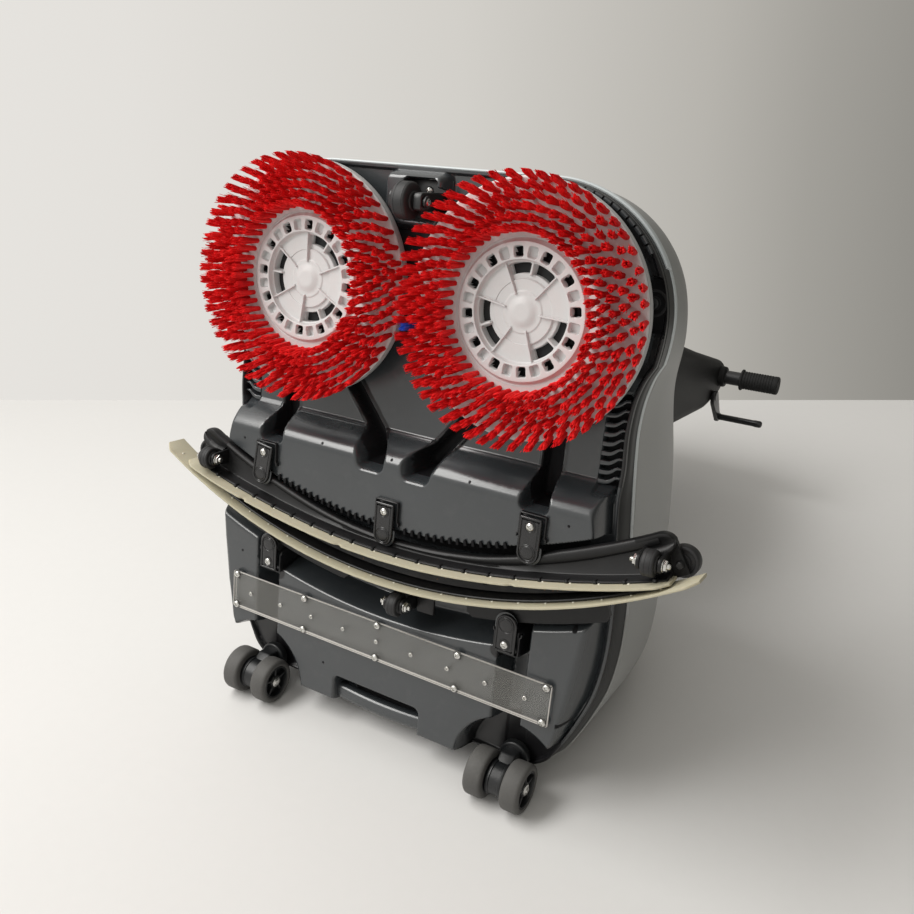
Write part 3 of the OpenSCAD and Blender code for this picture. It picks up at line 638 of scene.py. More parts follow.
def fin(path, w, z0, z1, b=0.6):
    """A ribbon standing along a plan path."""
    p = np.asarray(path, float)
    t = np.gradient(p, axis=0)
    t /= np.linalg.norm(t, axis=1, keepdims=True)
    n = np.column_stack([-t[:, 1], t[:, 0]])
    ww = np.asarray(w, float) if hasattr(w, "__len__") else np.full(len(p), float(w))
    loops = []
    for i in range(len(p)):
        h = ww[i] / 2
        sec = [(-h, z1), (-h, z0 + b), (-h + b * 0.4, z0 + b * 0.3), (-h + b, z0), (h - b, z0), (h - b * 0.4, z0 + b * 0.3), (h, z0 + b), (h, z1)]
        loops.append(np.array([[p[i, 0] + n[i, 0] * s, p[i, 1] + n[i, 1] * s, z] for s, z in sec]))
    return loft(loops)


# comb of short notches along the rear edge of the front block, drawn as fins in the deep shadow material: painted shade
# in the notches
a = -15.7
while a < 15.2:
    x = 615 * math.sin(math.radians(a))
    if abs(x) > 21:
        sn, cs = math.sin(math.radians(a)), math.cos(math.radians(a))
        pth = [(rr * sn - 0.5 * (616 - rr) / 5, rr * cs - ARC_C) for rr in (611.6, 612.4, 613.4, 615.0, 616.6, 618.4)]
        soup.add(*fin(pth, [1.6, 2.8, 3.3, 3.3, 3.4, 3.6], 34.72, 44, 0.2), 1)
    a += 0.955
# louvre fins with curled outer ends
for s in (-1, 1):
    for k in range(10):
        y0 = 75 + 10.5 * k
        pts = catmull([(238.5, y0 + 0.6), (245, y0 + 0.4), (249.5, y0 - 0.6), (253.5, y0 - 3.2), (257.5, y0 - 6.2), (262.6, y0 - 6.8)], 5)
        pts[:, 0] *= s
        soup.add(*fin(pts, np.linspace(5.8, 2.8, len(pts)), 77.2, 86, 0.9))
# small drain holes, the accessory hole and the slot near the caster, drawn as dark discs and a dark patch: painted
# shade inside them
for hx, hy, hr, hz in ((228, 214.5, 1.5, 35), (-228, 214.5, 1.5, 35), (104, 195.5, 1.6, 35), (-104, 195.5, 1.6, 35), (-2, 194, 1.6, 35), (-227, 372, 1.6, 35), (-83, 489, 1.6, 35), (250, 330, 3.4, 35)):
    hp = [(hx, hy)] + [(hx + q_ * math.cos(t_), hy + q_ * math.sin(t_)) for q_ in (hr * 0.5, hr, hr + 0.25) for t_ in np.linspace(0, 2 * math.pi, 24, endpoint=False)]
    hp = np.array(hp)
    hv = np.column_stack([hp, chassis_z(hp[:, 0], hp[:, 1]) - np.array([0.22] * 49 + [-0.3] * 24)])
    hf = [(0, 1 + (k + 1) % 24, 1 + k) for k in range(24)]
    hf += [(1 + 24 * m_ + k, 1 + 24 * m_ + (k + 1) % 24, 25 + 24 * m_ + (k + 1) % 24, 25 + 24 * m_ + k) for m_ in range(2) for k in range(24)]
    soup.add(hv, hf, 1)
sx_, sy_ = np.meshgrid(np.linspace(243, 252, 7), np.linspace(450, 455, 4), indexing="ij")
sv_ = np.column_stack([sx_.ravel(), sy_.ravel(), chassis_z(sx_.ravel(), sy_.ravel()) - 0.35])
si_ = np.arange(28).reshape(7, 4)
soup.add(sv_, np.stack([si_[:-1, :-1], si_[:-1, 1:], si_[1:, 1:], si_[1:, :-1]], -1).reshape(-1, 4).tolist(), 1)
# the carrying bar across the grip recess
bx_ = np.linspace(-67, 67, 33)
loops = []
for x in bx_:
    u = (x / 67) ** 2
    cy = 530.0 - 2.0 * u
    cz = 53.0 + 3.0 * u
    sec = []
    for t in np.linspace(0, 2 * math.pi, 28, endpoint=False):
        c, s = math.cos(t), math.sin(t)
        sec.append((x, cy + 10.4 * np.sign(c) * abs(c) ** 0.8, cz + 8.6 * np.sign(s) * abs(s) ** 0.8))
    loops.append(np.array(sec))
soup.add(*loft(loops))
# castellated rim round the two front corners
for s in (-1, 1):
    a = -79.0
    while a < -33:
        q = (a + 90) / 90
        r = 137 + 8 * q * q * (3 - 2 * q)
        pth = []
        for d in np.linspace(-1.85, 1.85, 5):
            t = math.radians(a + d)
            pth.append((s * (143 + (r - 2.9) * math.cos(t)), (r - 2.9) * math.sin(t)))
        soup.add(*fin(pth, 4.6, 70.2, 74, 1.1))
        a += 4.6
# clips that hold the square ends of the latches
for lx, ly, up in ((-188, 223.5, 1), (188, 223.5, 1), (0, 255.1, 1), (-174, 369.8, -1), (174, 369.8, -1)):
    pts = [(-17.4, 16), (-17.4, 12.5), (-15.4, 11.5), (-15.4, -11.6), (-14.6, -12.4), (14.6, -12.4), (15.4, -11.6), (15.4, 11.5), (17.4, 12.5), (17.4, 16)]
    fine_ = []
    for (x0, y0), (x1, y1) in zip(pts, pts[1:]):
        for k in range(4):
            fine_.append((lx + (x0 + (x1 - x0) * k / 4), ly + up * (y0 + (y1 - y0) * k / 4)))
    fine_.append((lx + pts[-1][0], ly + up * pts[-1][1]))
    soup.add(*fin(fine_, 1.7, 32.7, 38, 0.5), 2)
chassis = soup.mesh("chassis_underside", [M["chassis"], M["dark"], M["black"], M["wall"]], "chassis", rep="chassis_shell", slot="chassis_plastic", angle=50)

# ------------------------------------------------------------------ tank
TOP = 420.0
T = math.tan(LEAN)


def half_planes(poly, inside):
    out = []
    for (x0, y0), (x1, y1) in zip(poly, poly[1:]):
        nx, ny = y1 - y0, -(x1 - x0)
        l = math.hypot(nx, ny)
        nx, ny = nx / l, ny / l
        d = nx * x0 + ny * y0
        if nx * inside[0] + ny * inside[1] > d:
            nx, ny, d = -nx, -ny, -d
        out.append((nx, ny, d))
    return out


SIDE = [(100, TOP), (476, TOP), (487, TOP - 8), (545 - (TOP - 135) * T, TOP - 30), (545, 105), (545 + 105 * T, 0)]
FRONT = [(258, 320), (244, 362), (222, 392), (194, 412), (166, TOP), (0, TOP)]
HP = half_planes(SIDE, (230, 240))
HF = half_planes(FRONT, (0, 240))
FL_Y = [-137, -20, 20, 60, 110, 180, 260, 400, 545]
FL_S = [115, 115, 124, 142, 156, 180, 205, 216, 226]
FL_A = [0.0029, 0.0029, 0.0021, 0.00145, 0.00116, 0.00112, 0.00112, 0.00095, 0.0009]


GY = np.arange(-137.0, 542.0, 1.0)


def eased(v, sigma=24):
    k = np.exp(-0.5 * (np.arange(-3 * sigma, 3 * sigma + 1) / sigma) ** 2)
    pad = np.concatenate([np.full(3 * sigma, v[0]), v, np.full(3 * sigma, v[-1])])
    return np.convolve(pad, k / k.sum(), "valid")


GW = eased(width(GY), 20)
GL = np.gradient(GW)
GS, GA = eased(np.interp(GY, FL_Y, FL_S)), eased(np.interp(GY, FL_Y, FL_A))


def tank_f(p, k=6.0):
    x, y, z = np.abs(p[..., 0]), p[..., 1], p[..., 2]
    yc = np.clip(y, -137, 541)
    # the outline is exact at the seam and eases out higher up
    b = ramp((z - 112) / 60) * ramp((y + 40) / 50) * ramp((520 - y) / 40)
    wq = width(yc) * (1 - b) + np.interp(yc, GY, GW) * b
    sq = np.minimum(np.abs(slope(np.clip(y, -130, 536))), 60) * (1 - b) + np.abs(np.interp(yc, GY, GL)) * b
    d = (wq - x) / np.sqrt(1 + sq ** 2)
    zs, aa = np.interp(y, GY, GS), np.interp(y, GY, GA)
    lean = aa * np.maximum(z - zs, 0) ** 2
    terms = [lean - d, (-137 + 0.0029 * np.maximum(z - 115, 0) ** 2 - y) / np.sqrt(1 + (0.0058 * np.maximum(z - 115, 0)) ** 2)]
    for a, b, c in HP:
        terms.append(a * y + b * z - c)
    for a, b, c in HF:
        terms.append(a * x + b * z - c)
    t = np.stack(terms, 0)
    m = t.max(0)
    f = m + k * np.log(np.exp((t - m) / k).sum(0)) - 0.8
    return smax(f, 104.0 - z, 3.0)


def cube_sphere(n):
    g = np.tan(np.linspace(-math.pi / 4, math.pi / 4, n + 1))
    A, B = np.meshgrid(g, g, indexing="ij")
    O = np.ones_like(A)
    vs, fs, n0 = [], [], 0
    for f in [(O, A, B), (-O, B, A), (B, O, A), (A, -O, B), (A, B, O), (B, A, -O)]:
        v = np.stack(f, -1).reshape(-1, 3)
        i = np.arange((n + 1) ** 2).reshape(n + 1, n + 1) + n0
        fs.append(np.stack([i[:-1, :-1], i[1:, :-1], i[1:, 1:], i[:-1, 1:]], -1).reshape(-1, 4))
        vs.append(v)
        n0 += (n + 1) ** 2
    v = np.vstack(vs)
    f = np.vstack(fs)
    key = np.round(v / np.abs(v).max(1, keepdims=True), 6)
    _, first, inv = np.unique(key, axis=0, return_index=True, return_inverse=True)
    return v[first], inv.reshape(-1)[f]


dirs, tf = cube_sphere(110)
dirs = dirs * np.array([1.0, 1.25, 0.72])
dirs /= np.linalg.norm(dirs, axis=1, keepdims=True)
C = np.array([0.0, 235.0, 215.0])
lo, hi = np.zeros(len(dirs)), np.full(len(dirs), 620.0)
for _ in range(30):
    mid = (lo + hi) / 2
    ins = tank_f(C + dirs * mid[:, None]) < 0
    lo, hi = np.where(ins, mid, lo), np.where(ins, hi, mid)
tv = C + dirs * lo[:, None]
tsoup = Soup().add(tv, tf.tolist(), 0)
# lip along the seam, pale partly in its own colour and partly as a painted highlight on its edge; it hangs lower round
# the nose and ends there in a step
yy = np.concatenate([ys[:9], np.arange(-132, -60, 3.0), [-59.2, -58.6, -58.0, -57.4, -56.8], np.arange(-54, 541, 4.0), [541.0]])
lipl = np.vstack([np.column_stack([width(yy), yy]), np.column_stack([-width(yy), yy])[::-1]])
nose = 1.0 - ramp((lipl[:, 1] + 59) / 1.6, 0.2, 0.2)
if np.sum(lipl[:, 0] * np.roll(lipl[:, 1], -1) - np.roll(lipl[:, 0], -1) * lipl[:, 1]) < 0:
    lipl, nose = lipl[::-1], nose[::-1]
loops = []
for off0, z0, off1, z1 in [(4, 90.5, 4, 98.5), (0.3, 89.2, 0.4, 97.6), (-1.4, 88.4, -0.3, 97.3), (-2.5, 89.0, -0.8, 97.9), (-3.1, 90.4, -1.0, 99.2), (-3.1, 96, -1.0, 103.4), (-2.5, 100, -0.7, 105), (-1.0, 103, -0.2, 106.5), (1.5, 106, 1.5, 107.5), (6, 108, 6, 108)]:
    q0, q1 = inset(lipl, off0), inset(lipl, off1)
    q = q0 * nose[:, None] + q1 * (1 - nose[:, None])
    loops.append(np.column_stack([q, z0 * nose + z1 * (1 - nose)]))
lv_, lf_ = loft(loops, False, False)
n_ = len(tsoup.m)
tsoup.add(lv_, lf_, 1)
for k_, q_ in enumerate(lf_):
    # the painted highlight of the lip fades into the colour of the tank towards the tail
    fade = (lv_[list(q_), 1].mean() - 165) / 26
    if fade > 6:
        tsoup.m[n_ + k_] = 0
    elif fade > 0:
        tsoup.m[n_ + k_] = 2 + int(min(5, fade))
# steps of the fade from the pale lip, with its painted highlight, to the tank colour
LIP_HIGHLIGHT_FADE = [material("tank_lip_%d" % k, tuple(a + (b - a) * (k + 1) / 7 for a, b in zip((0.52, 0.56, 0.57), (0.29, 0.295, 0.288))), 0.36 + 0.008 * k, bump=0.06, scale=700, var=0.045, rough_var=0.03) for k in range(6)]
# hinge ears, filler neck and the lid of the recovery tank
earp = [(145 + 20 * math.cos(t), 442 + 20 * math.sin(t)) for t in np.linspace(0, math.pi, 30)] + [(120, 414), (170, 414)]
for s in (-1, 1):
    o, i = [], []
    n = 72
    pl = np.asarray(earp, float)
    c = np.array([145.0, 442.0])
    for t in np.linspace(0, 2 * math.pi, n, endpoint=False):
        d = np.array([math.cos(t), math.sin(t)])
        best = 0.0
        for p, q in zip(pl, np.roll(pl, -1, 0)):
            e, w = q - p, p - c
            den = d[0] * e[1] - d[1] * e[0]
            if abs(den) < 1e-9:
                continue
            k, u = (w[0] * e[1] - w[1] * e[0]) / den, (w[0] * d[1] - w[1] * d[0]) / den
            if k > 0 and -1e-6 <= u <= 1 + 1e-6:
                best = max(best, k)
        o.append((best, d))
    x0, x1 = s * 91 - 7, s * 91 + 7
    loops = []
    for x, dr, bore in ((x0, -1.4, 0), (x0 + 0.5, -0.4, 0), (x0 + 1.4, 0, 0), (x1 - 1.4, 0, 0), (x1 - 0.5, -0.4, 0), (x1, -1.4, 0), (x1, 0.6, 1), (x1 - 0.6, 0, 1), (x0 + 0.6, 0, 1), (x0, 0.6, 1), (x0, -1.4, 0)):
        loops.append(np.array([[x, c[0] + ((10.2 + dr) if bore else (k + dr)) * d[0], c[1] + ((10.2 + dr) if bore else (k + dr)) * d[1]] for k, d in o]))
    tsoup.add(*loft(loops, False, False), 0)
v, f = lathe([(34.2, 414), (34.2, 427.2), (35.0, 428), (42.6, 428), (43.8, 427.2), (44, 426), (44, 422.6), (46.5, 421.4), (50, 420.8), (52, 418)], 72)
tsoup.add(v + np.array([0, 400, 0]), f, 0)
tsoup.add(*plate(rounded([(-128, 196), (128, 196), (128, 338), (-128, 338)], 26, 8), 416, 425.2, 0.4, 4.0, 4), 0)
for k in range(4):
    tsoup.add(*cbox(-92, 92, 216 + 30 * k, 226 + 30 * k, 424, 427.2, 1.6), 0)
tank = tsoup.mesh("tank_moulding", [M["tank"], M["trim"]] + LIP_HIGHLIGHT_FADE, "chassis", rep="tank_body", slot="tank_plastic", angle=40)

# ------------------------------------------------------------------ brushes
def brush_board(s, phase, hub, ring0, body, node):
    rad = np.concatenate([np.linspace(0, 18, 6)[1:], np.arange(18.7, 80, 0.72), [81, 84, 90, 100, 112, 124, 131, 134.5, 135.7, 136.5, 137.1, 137.4]])
    nt = 720
    th = np.linspace(0, 2 * math.pi, nt, endpoint=False)
    R, A = np.meshgrid(rad, th, indexing="ij")
    deg = np.degrees(A)

    def off(c, step):
        return (deg - c + step / 2) % step - step / 2

    dp = off(hub, 120.0)                     # petals
    ds = off(hub + 60, 120.0)                    # slot sectors
    arc = R * np.radians(1.0)
    z = np.full_like(R, 50.0)
    inner = 50 - 2.2 * ramp((41 - R) / 1.2 + 0.5)                              # ledge inside the slots
    inner = np.where(R > 41, np.where(R > 51, 44.5, 50.0), inner)
    petal = ramp((26.0 - np.abs(dp)) * arc / 1.0 + 0.5) * ramp((R - 33) / 1.0 + 0.5)
    z = inner * (1 - petal) + 44.6 * petal
    rib = ramp((1.25 - np.abs(np.abs(dp) - 26.0) * arc) / 0.7 + 0.5) * ramp((R - 19) / 1.0) * ramp((55 - R) / 1.0)
    z = np.minimum(z, 50 - 8.2 * rib)
    brg = ramp((1.5 - np.abs(ds) * arc) / 0.7 + 0.5) * ramp((R - 38) / 1.0) * ramp((55 - R) / 1.0)
    z = np.minimum(z, 50 - 6.0 * brg)
    z = np.minimum(z, np.where(R < 37, 50 - 4.6 * ramp((35 - R) / 1.2 + 0.5), 99))
    z = np.minimum(z, np.where(R < 32, 50 - 5.6 * ramp((23.0 - R) / 1.4 + 0.5) - 2.4 * ramp((14.0 - R) / 2.4 + 0.5), 99))
    z = np.where(R < 13.0, z - 0.7 * ramp((12 - R) / 1.0), z)
    slotd = np.maximum(np.abs(R - 46) - 5.2, (np.abs(np.abs(ds) - 16.8) - 13.2) * arc)
    slot = ramp(-slotd / 0.9 + 0.5)
    z = z + 12 * slot * (1 - brg) * (1 - rib)
    # hub ring and the faces of the board
    ring = ramp((R - 53.4) / 1.4) * ramp((74.6 - R) / 1.8)
    z = np.where(R > 54.0, 42.0, z)
    z = z * (1 - ring) + 38.0 * ring
    lip = ramp((R - 52.4) / 0.8) * ramp((55.0 - R) / 0.8)
    z = z - 0.5 * lip * (R < 55)
    z = z + 1.5 * ramp((R - 75.4) / 0.6) * ramp((78.2 - R) / 0.6)
    dk = off(ring0, 15.0)
    k = np.round((deg - ring0) / 15.0).astype(int) % 24
    u, v = R * np.cos(np.radians(dk)) - 62.5, R * np.sin(np.radians(dk))
    pd = box_sdf(u, v, 0, 0, 5.6, 5.0, 2.2)
    pk = ramp(-pd / 0.9 + 0.5)
    pk2 = ramp(-(pd + 0.7) / 0.9 + 0.5) * (k % 2 == 0)
    z = z + pk * np.where(k % 2 == 0, 4.0, 6.0 + 0.25 * v) + 10.0 * pk2
    z = z + 2.2 * np.maximum(R - 135.5, 0) ** 2 / 3.6
    # faces deep in the slots and in the through pockets take the hub_shadow material: painted shade inside the holes
    deep = ((slot > 0.5) & (z > 53)) | (pk2 > 0.02)
    n = len(rad)
    P = np.stack([R * np.cos(A), R * np.sin(A), z], -1).reshape(-1, 3)
    verts = np.vstack([[[0, 0, z[0].mean()]], P])
    g = np.arange(n * nt).reshape(n, nt) + 1
    gj = np.roll(g, -1, 1)
    quads = np.stack([g[:-1], gj[:-1], gj[1:], g[1:]], -1).reshape(-1, 4)
    dq = (deep[:-1] & deep[1:] & np.roll(deep, -1, 1)[:-1] & np.roll(deep, -1, 1)[1:]).reshape(-1)
    faces = [(0, gj[0, i], g[0, i]) for i in range(nt)] + quads.tolist()
    fm = [0] * nt + dq.astype(int).tolist()
    sp_ = Soup()
    sp_.v, sp_.f, sp_.m, sp_.n = [verts], faces, fm, len(verts)
    sp_.add(*lathe([(137.5, 44.9), (137.5, 52.6), (136.7, 53.6), (134.5, 54), (70, 54)], 180))
    # dark disc behind the board in the painted shade material, seen through the slots
    sp_.add(*lathe([(70, 54), (54, 53.8), (30, 53.8), (0, 53.8)], 180), 1)
    allv = spun(np.vstack(sp_.v), phase) + np.array([s * 143.0, 0, 0])
    return build(node + "_face", allv, sp_.f, None, body, rep=node, slot="board_plastic", mats=[M["board"], M["through"]], fmat=sp_.m, angle=42)


RINGS = [(84.6, 0.0), (95.2, 0.5), (105.6, 0.0), (115.8, 0.5), (125.6, 0.0), (134.4, 0.5)]


def bristle_field(s, phase, body, node, blue):
    cx = s * 143.0
    so = Soup()
    TIP = 12.2
    for ri, (rr, st) in enumerate(RINGS):
        nt = 50
        for k in range(nt):
            a = math.radians(phase + (k + st) * 360 / nt + rng.uniform(-0.5, 0.5))
            e_r, e_t = np.array([math.cos(a), math.sin(a)]), np.array([-math.sin(a), math.cos(a)])
            base = rr * e_r
            lean = (2.4 + 4.8 * (ri / 5) ** 1.5 + rng.gauss(0, 0.8)) * e_r + rng.gauss(0, 1.0) * e_t
            dd = abs((math.degrees(a) - blue + 180) % 360 - 180)
            mat = 2 if ri == 4 and dd < 3.3 else (1 if rng.random() < 0.4 else 0)
            f0 = rng.uniform(0, 6.28)
            for q in range(11):
                if q == 0:
                    ob, ot = np.zeros(2), np.array([rng.gauss(0, 0.5), rng.gauss(0, 0.5)])
                else:
                    t = f0 + q * 2.39996 + rng.uniform(-0.2, 0.2)
                    d0 = math.cos(t) * e_r + math.sin(t) * e_t
                    ob, ot = 1.5 * d0, rng.uniform(1.8, 4.1) * d0
                ztip = TIP + rng.uniform(-1.8, 2.4)
                loops = []
                for u, w in ((0.0, 1.35), (0.35, 1.45), (0.7, 1.5), (0.88, 1.30), (1.0, 0.34)):
                    c = base + lean * u ** 1.4 + ob + (ot - ob) * u ** 1.3
                    c = c * min(1.0, (142.6 - w) / max(math.hypot(*c), 1.0))
                    loops.append(np.array([(cx + c[0] + w * math.cos(f0 + j * 1.0472), c[1] + w * math.sin(f0 + j * 1.0472), 43.0 + (ztip - 43.0) * u) for j in range(6)]))
                v, f = loft(loops, False, True)
                so.add(v, [tuple(reversed(z_)) for z_ in f], mat if mat == 2 or rng.random() < 0.75 else 1 - mat)
            # loose filaments round the tuft
            vv, ff = [], []
            for q in range(14):
                t = q * 2.39996 + rng.uniform(-0.4, 0.4)
                w = rng.uniform(2.4, 4.6)
                d0 = w * (math.cos(t) * e_r * 0.9 + math.sin(t) * e_t)
                p0 = base + lean * 0.4 + d0 * 0.85
                p1 = base + lean * 1.08 + d0 * rng.uniform(1.0, 1.45) + rng.gauss(0, 0.5) * e_t
                rd = math.hypot(*p1)
                if rd > 142.4:
                    p1 = p1 * (142.4 / rd)
                z0, z1 = 43 - 30 * 0.5, TIP + rng.uniform(-1.6, 0.8)
                n0 = len(vv)
                for p, zz, w2 in ((p0, z0, 0.50), (p1, z1, 0.26)):
                    for j in range(3):
                        vv.append((cx + p[0] + w2 * math.cos(t + j * 2.0944), p[1] + w2 * math.sin(t + j * 2.0944), zz))
                ff += [(n0 + (j + 1) % 3, n0 + j, n0 + 3 + j, n0 + 3 + (j + 1) % 3) for j in range(3)]
                ff.append((n0 + 5, n0 + 4, n0 + 3))
            so.add(np.array(vv), ff, mat)
    return so.mesh(node + "_tufts", [M["red"], M["red2"], M["bluebristle"]], body, rep=node, slot="red_bristle", angle=50)


M["through"] = material("hub_shadow", (0.010, 0.010, 0.011), 0.6, bump=0.1, scale=300, var=0.3, spec=0.3)
for side_, s_, ph_, bl_, hb_, rg_ in (("left", -1, 3.4, 179.6, 0, 0), ("right", 1, 6.8, 163.9, -30, 15)):
    brush_board(s_, ph_, hb_, rg_, side_ + "_brush", side_ + "_brush_board")
    bristle_field(s_, ph_, side_ + "_brush", side_ + "_bristles", bl_)

# ------------------------------------------------------------------ squeegee
M["grit"] = material("channel_grit", (0.16, 0.085, 0.045), 0.7, bump=0.3, scale=800, var=0.5, blotch=300)
M["nub"] = material("blade_nub", (0.62, 0.60, 0.50), 0.4, bump=0.1, scale=500, var=0.08)


def r_front(a):
    return float(np.interp(abs(a), [0, 4, 7.5, 11, 15, 18, 21, 24.2, 26.5, 28.4, 31], [642.2, 642.7, 643.6, 645.2, 648.0, 651.2, 655.2, 660.4, 664.4, 667.4, 673]))


def pol(r, a, z):
    t = math.radians(a)
    return (r * math.sin(t), r * math.cos(t) - ARC_C, z)


def sweep(sections, angles, caps=True):
    loops = [np.array([pol(r, a, z) for r, z in sec]) for sec, a in zip(sections, angles)]
    v, f = loft(loops, caps, caps)
    return swung(v), f


def arcs(a0, a1, step=0.4):
    n = max(2, int(abs(a1 - a0) / step) + 1)
    return np.linspace(a0, a1, n)


fr_ = Soup()
# front member: bead, trough, ridge and blade holder
angs = arcs(-28.3, 28.3, 0.35)
secs = []
for a in angs:
    q = r_front(a)
    lo = min(q - 7.6, float(np.interp(a, [-28, -20, -11, 0, 11, 17.6, 24, 28], [631.2, 631.4, 635, 636, 636.2, 634.2, 632.4, 632.4])))
    hi = float(np.interp(a, [-28, -21, -16, -9, 0, 9, 14, 18, 22, 28], [623.0, 623.0, 624.6, 627.8, 629.0, 627.6, 624.4, 620.4, 619.4, 619.6]))
    m = (hi + lo) / 2
    secs.append([(hi + 1.5, 46), (hi + 0.4, 43), (hi, 39), (hi + 0.3, 36.2), (hi + 1.2, 34.2), (hi + 2.6, 33.2), (m, 32.8), (lo - 2.4, 33.2), (lo - 1.0, 34.0), (lo - 0.3, 35.2),
                 (lo, 36.6), (lo + 0.7, 37.0), (lo + 1.6, 36.8), (q - 6.2, 35.2), (q - 5.5, 34.8), (q - 4.9, 33.4), (q - 4.6, 19.0), (q - 4.1, 17.0), (q - 3.3, 16.0), (q - 2.2, 16.0), (q - 1.7, 16.8), (q - 1.6, 46)])
fr_.add(*sweep(secs, angs), 0)
# notched teeth of the holder
for k in range(-10, 11):
    a = -0.55 + k * 2.78
    if abs(a) < 28:
        ss, aa = [], []
        for a1 in (a - 0.16, a - 0.08, a + 0.08, a + 0.16):
            q = r_front(a1)
            e = 0.5 if abs(a1 - a) > 0.1 else 0.0
            ss.append([(q - 5.4 + e, 14.6 + e), (q - 5.8 + e, 17), (q - 5.4 + e, 22.5 - e), (q - 1.7, 22.5 - e), (q - 1.65, 14.6 + e), (q - 3.2, 13.8 + e)])
            aa.append(a1)
        fr_.add(*sweep(ss, aa), 0)
# floor of the channel and the rear wall
angs = arcs(-27.2, 27.2, 0.4)
secs = []
for a in angs:
    q = r_front(a) + 1.7
    e = 667.2
    m = (q + e) / 2
    secs.append([(q, 46), (q, 24), (q + 0.5, 22.8), (q + 1.2, 24), (q + 1.5, 30.5), (m, 32.2), (e - 1.6, 30.8), (e - 1.2, 46)])
fr_.add(*sweep(secs, angs), 1)
angs = arcs(-28.7, 28.1, 0.4)
fr_.add(*sweep([[(667.3, 46), (667.3, 15.2), (667.8, 13.6), (668.8, 13.0), (670.0, 13.4), (670.8, 14.6), (671.2, 46)] for _ in angs], angs), 0)
# dimples and dirt in the channel
for a in (-24.5, -19.2, -14.0, -8.4, -2.6, 3.2, 9.4, 15.5):
    q = (r_front(a) + 666) / 2
    v, f = lathe([(0, 33), (2.0, 32.6), (2.4, 30.2), (3.0, 29.4), (3.9, 29.5), (4.4, 30.4), (4.6, 33)], 20)
    fr_.add(swung(v + np.array([*pol(q, a, 0)[:2], 0])), f, 0)
for k in range(46):
    a = rng.uniform(-24, 26) if k < 26 else rng.uniform(14, 24)
    q0, q1 = r_front(a) + 4, 664
    if q1 - q0 < 2:
        continue
    q = rng.uniform(q0, q1)
    s = rng.uniform(0.35, 0.95)
    v, f = lathe([(0, 31.6 - s), (s * 0.8, 31.6 - 0.6 * s), (s, 31.8), (s * 0.4, 33)], 6, rng.uniform(0, 1))
    fr_.add(swung(v * np.array([1, 1.5, 1]) + np.array([*pol(q, a, 0)[:2], 0])), f, 2)
# horns at both ends
for s in (-1, 1):
    angs = np.array([26.9, 27.3, 27.7, 28.1, 28.5, 28.9, 29.3, 29.65, 29.95, 30.15, 30.3, 30.4, 30.45]) - (0.85 if s > 0 else -0.2)
    tip, first = angs[-1], angs[0]
    secs = []
    for a in angs:
        t = max(0.0, (a - tip + 1.25) / 1.25)
        h = math.sqrt(max(0.02, 1 - t * t))
        grow = ramp((a - first) / 1.7, 0.5, 0.5)
        c, w0, w1 = (632.0, 12.4, 12.0) if s > 0 else (635.6, 12.2, 4.0 + 9.0 * grow)
        r0, r1 = c - w0 * h, c + w1 * h
        d = 1.0 - h
        secs.append([(r0 + 1.6, 46), (r0 + 0.4, 43), (r0, 37.6), (r0 + 0.5, 34.4 + 3 * d), (r0 + 1.4 * h, 33.0 + 4 * d), (r0 + 3.0 * h, 32.6 + 4 * d), (c - 6.2 * h, 33.2 + 4 * d), (c - 4 * h, 34.6 + 2 * d),
                     (min(c + 2 * h, r1 - 7.4 * h), 34.8 + 2 * d), (min(c + 3.5 * h, r1 - 6.4 * h), 31.8 + 4 * d), (r1 - 5 * h, 30.0 + 5 * d), (r1 - 2.4 * h, 30.0 + 5 * d), (r1 - 0.8, 31.4 + 4 * d), (r1, 35), (r1 - 0.3, 43), (r1 - 1.4, 46)])
    v, f = sweep(secs, s * angs)
    fr_.add(v, f if s > 0 else [tuple(reversed(q)) for q in f], 0)
# top plate, tongues and the roller lugs
for a0, a1, r0, r1, z0, z1 in [(-29.6, 29.6, 630, 670, 39.5, 45.3)]:
    angs = arcs(a0, a1, 0.6)
    fr_.add(*sweep([[(r0, z1), (r0, z0), (r1 - 0.4, z0), (r1, z0 + 0.6), (r1, z1)] for _ in angs], angs), 0)
for s in (-1, 1):
    angs = arcs(7.0, 21.5, 0.5)
    secs = []
    for a in angs:
        e = min(1.0, (a - 7.0) / 0.5, (21.5 - a) / 0.5)
        r1 = 697 + 6 * math.sqrt(max(0.0, 1 - (1 - e) ** 2))
        secs.append([(664, 41.3), (664, 36), (r1 - 1, 35.3), (r1, 36.3), (r1, 41.3)])
    v, f = sweep(secs, s * angs)
    fr_.add(v, f if s > 0 else [tuple(reversed(q)) for q in f], 0)
v, f = cbox(-13, 13, 326, 371, 35.3, 41.3, 1.2)
fr_.add(swung(v), f, 0)
EA = math.radians(27.4)
def roll_at(p):
    """Rollers keep the axis of their pins; they only sit a little further along it."""
    return swung(np.asarray(p, float) + np.array([4.6, 0, 0]), 0.0, SWING)


ROLL = [(645 * math.sin(EA), 645 * math.cos(EA) - ARC_C), (-645 * math.sin(EA), 645 * math.cos(EA) - ARC_C), (0.0, 360.0)]
for qx, qy in ROLL:
    for d in (-11, 11):
        poly = rounded([(qy - 8, 6.5), (qy + 8, 6.5), (qy + 9.5, 43), (qy - 9.5, 43)], [7, 7, 0.5, 0.5], 6)
        v, f = plate(poly, -2, 2, 0.7, 0.7, 2)
        v = np.column_stack([v[:, 2] + qx + d, v[:, 0], v[:, 1]])
        fr_.add(roll_at(v), f, 0)
    # web that joins the two lugs to the plate
    v, f = cbox(qx - 13, qx + 13, qy - 9, qy + 9, 37, 44, 1.5)
    fr_.add(roll_at(v), f, 0)
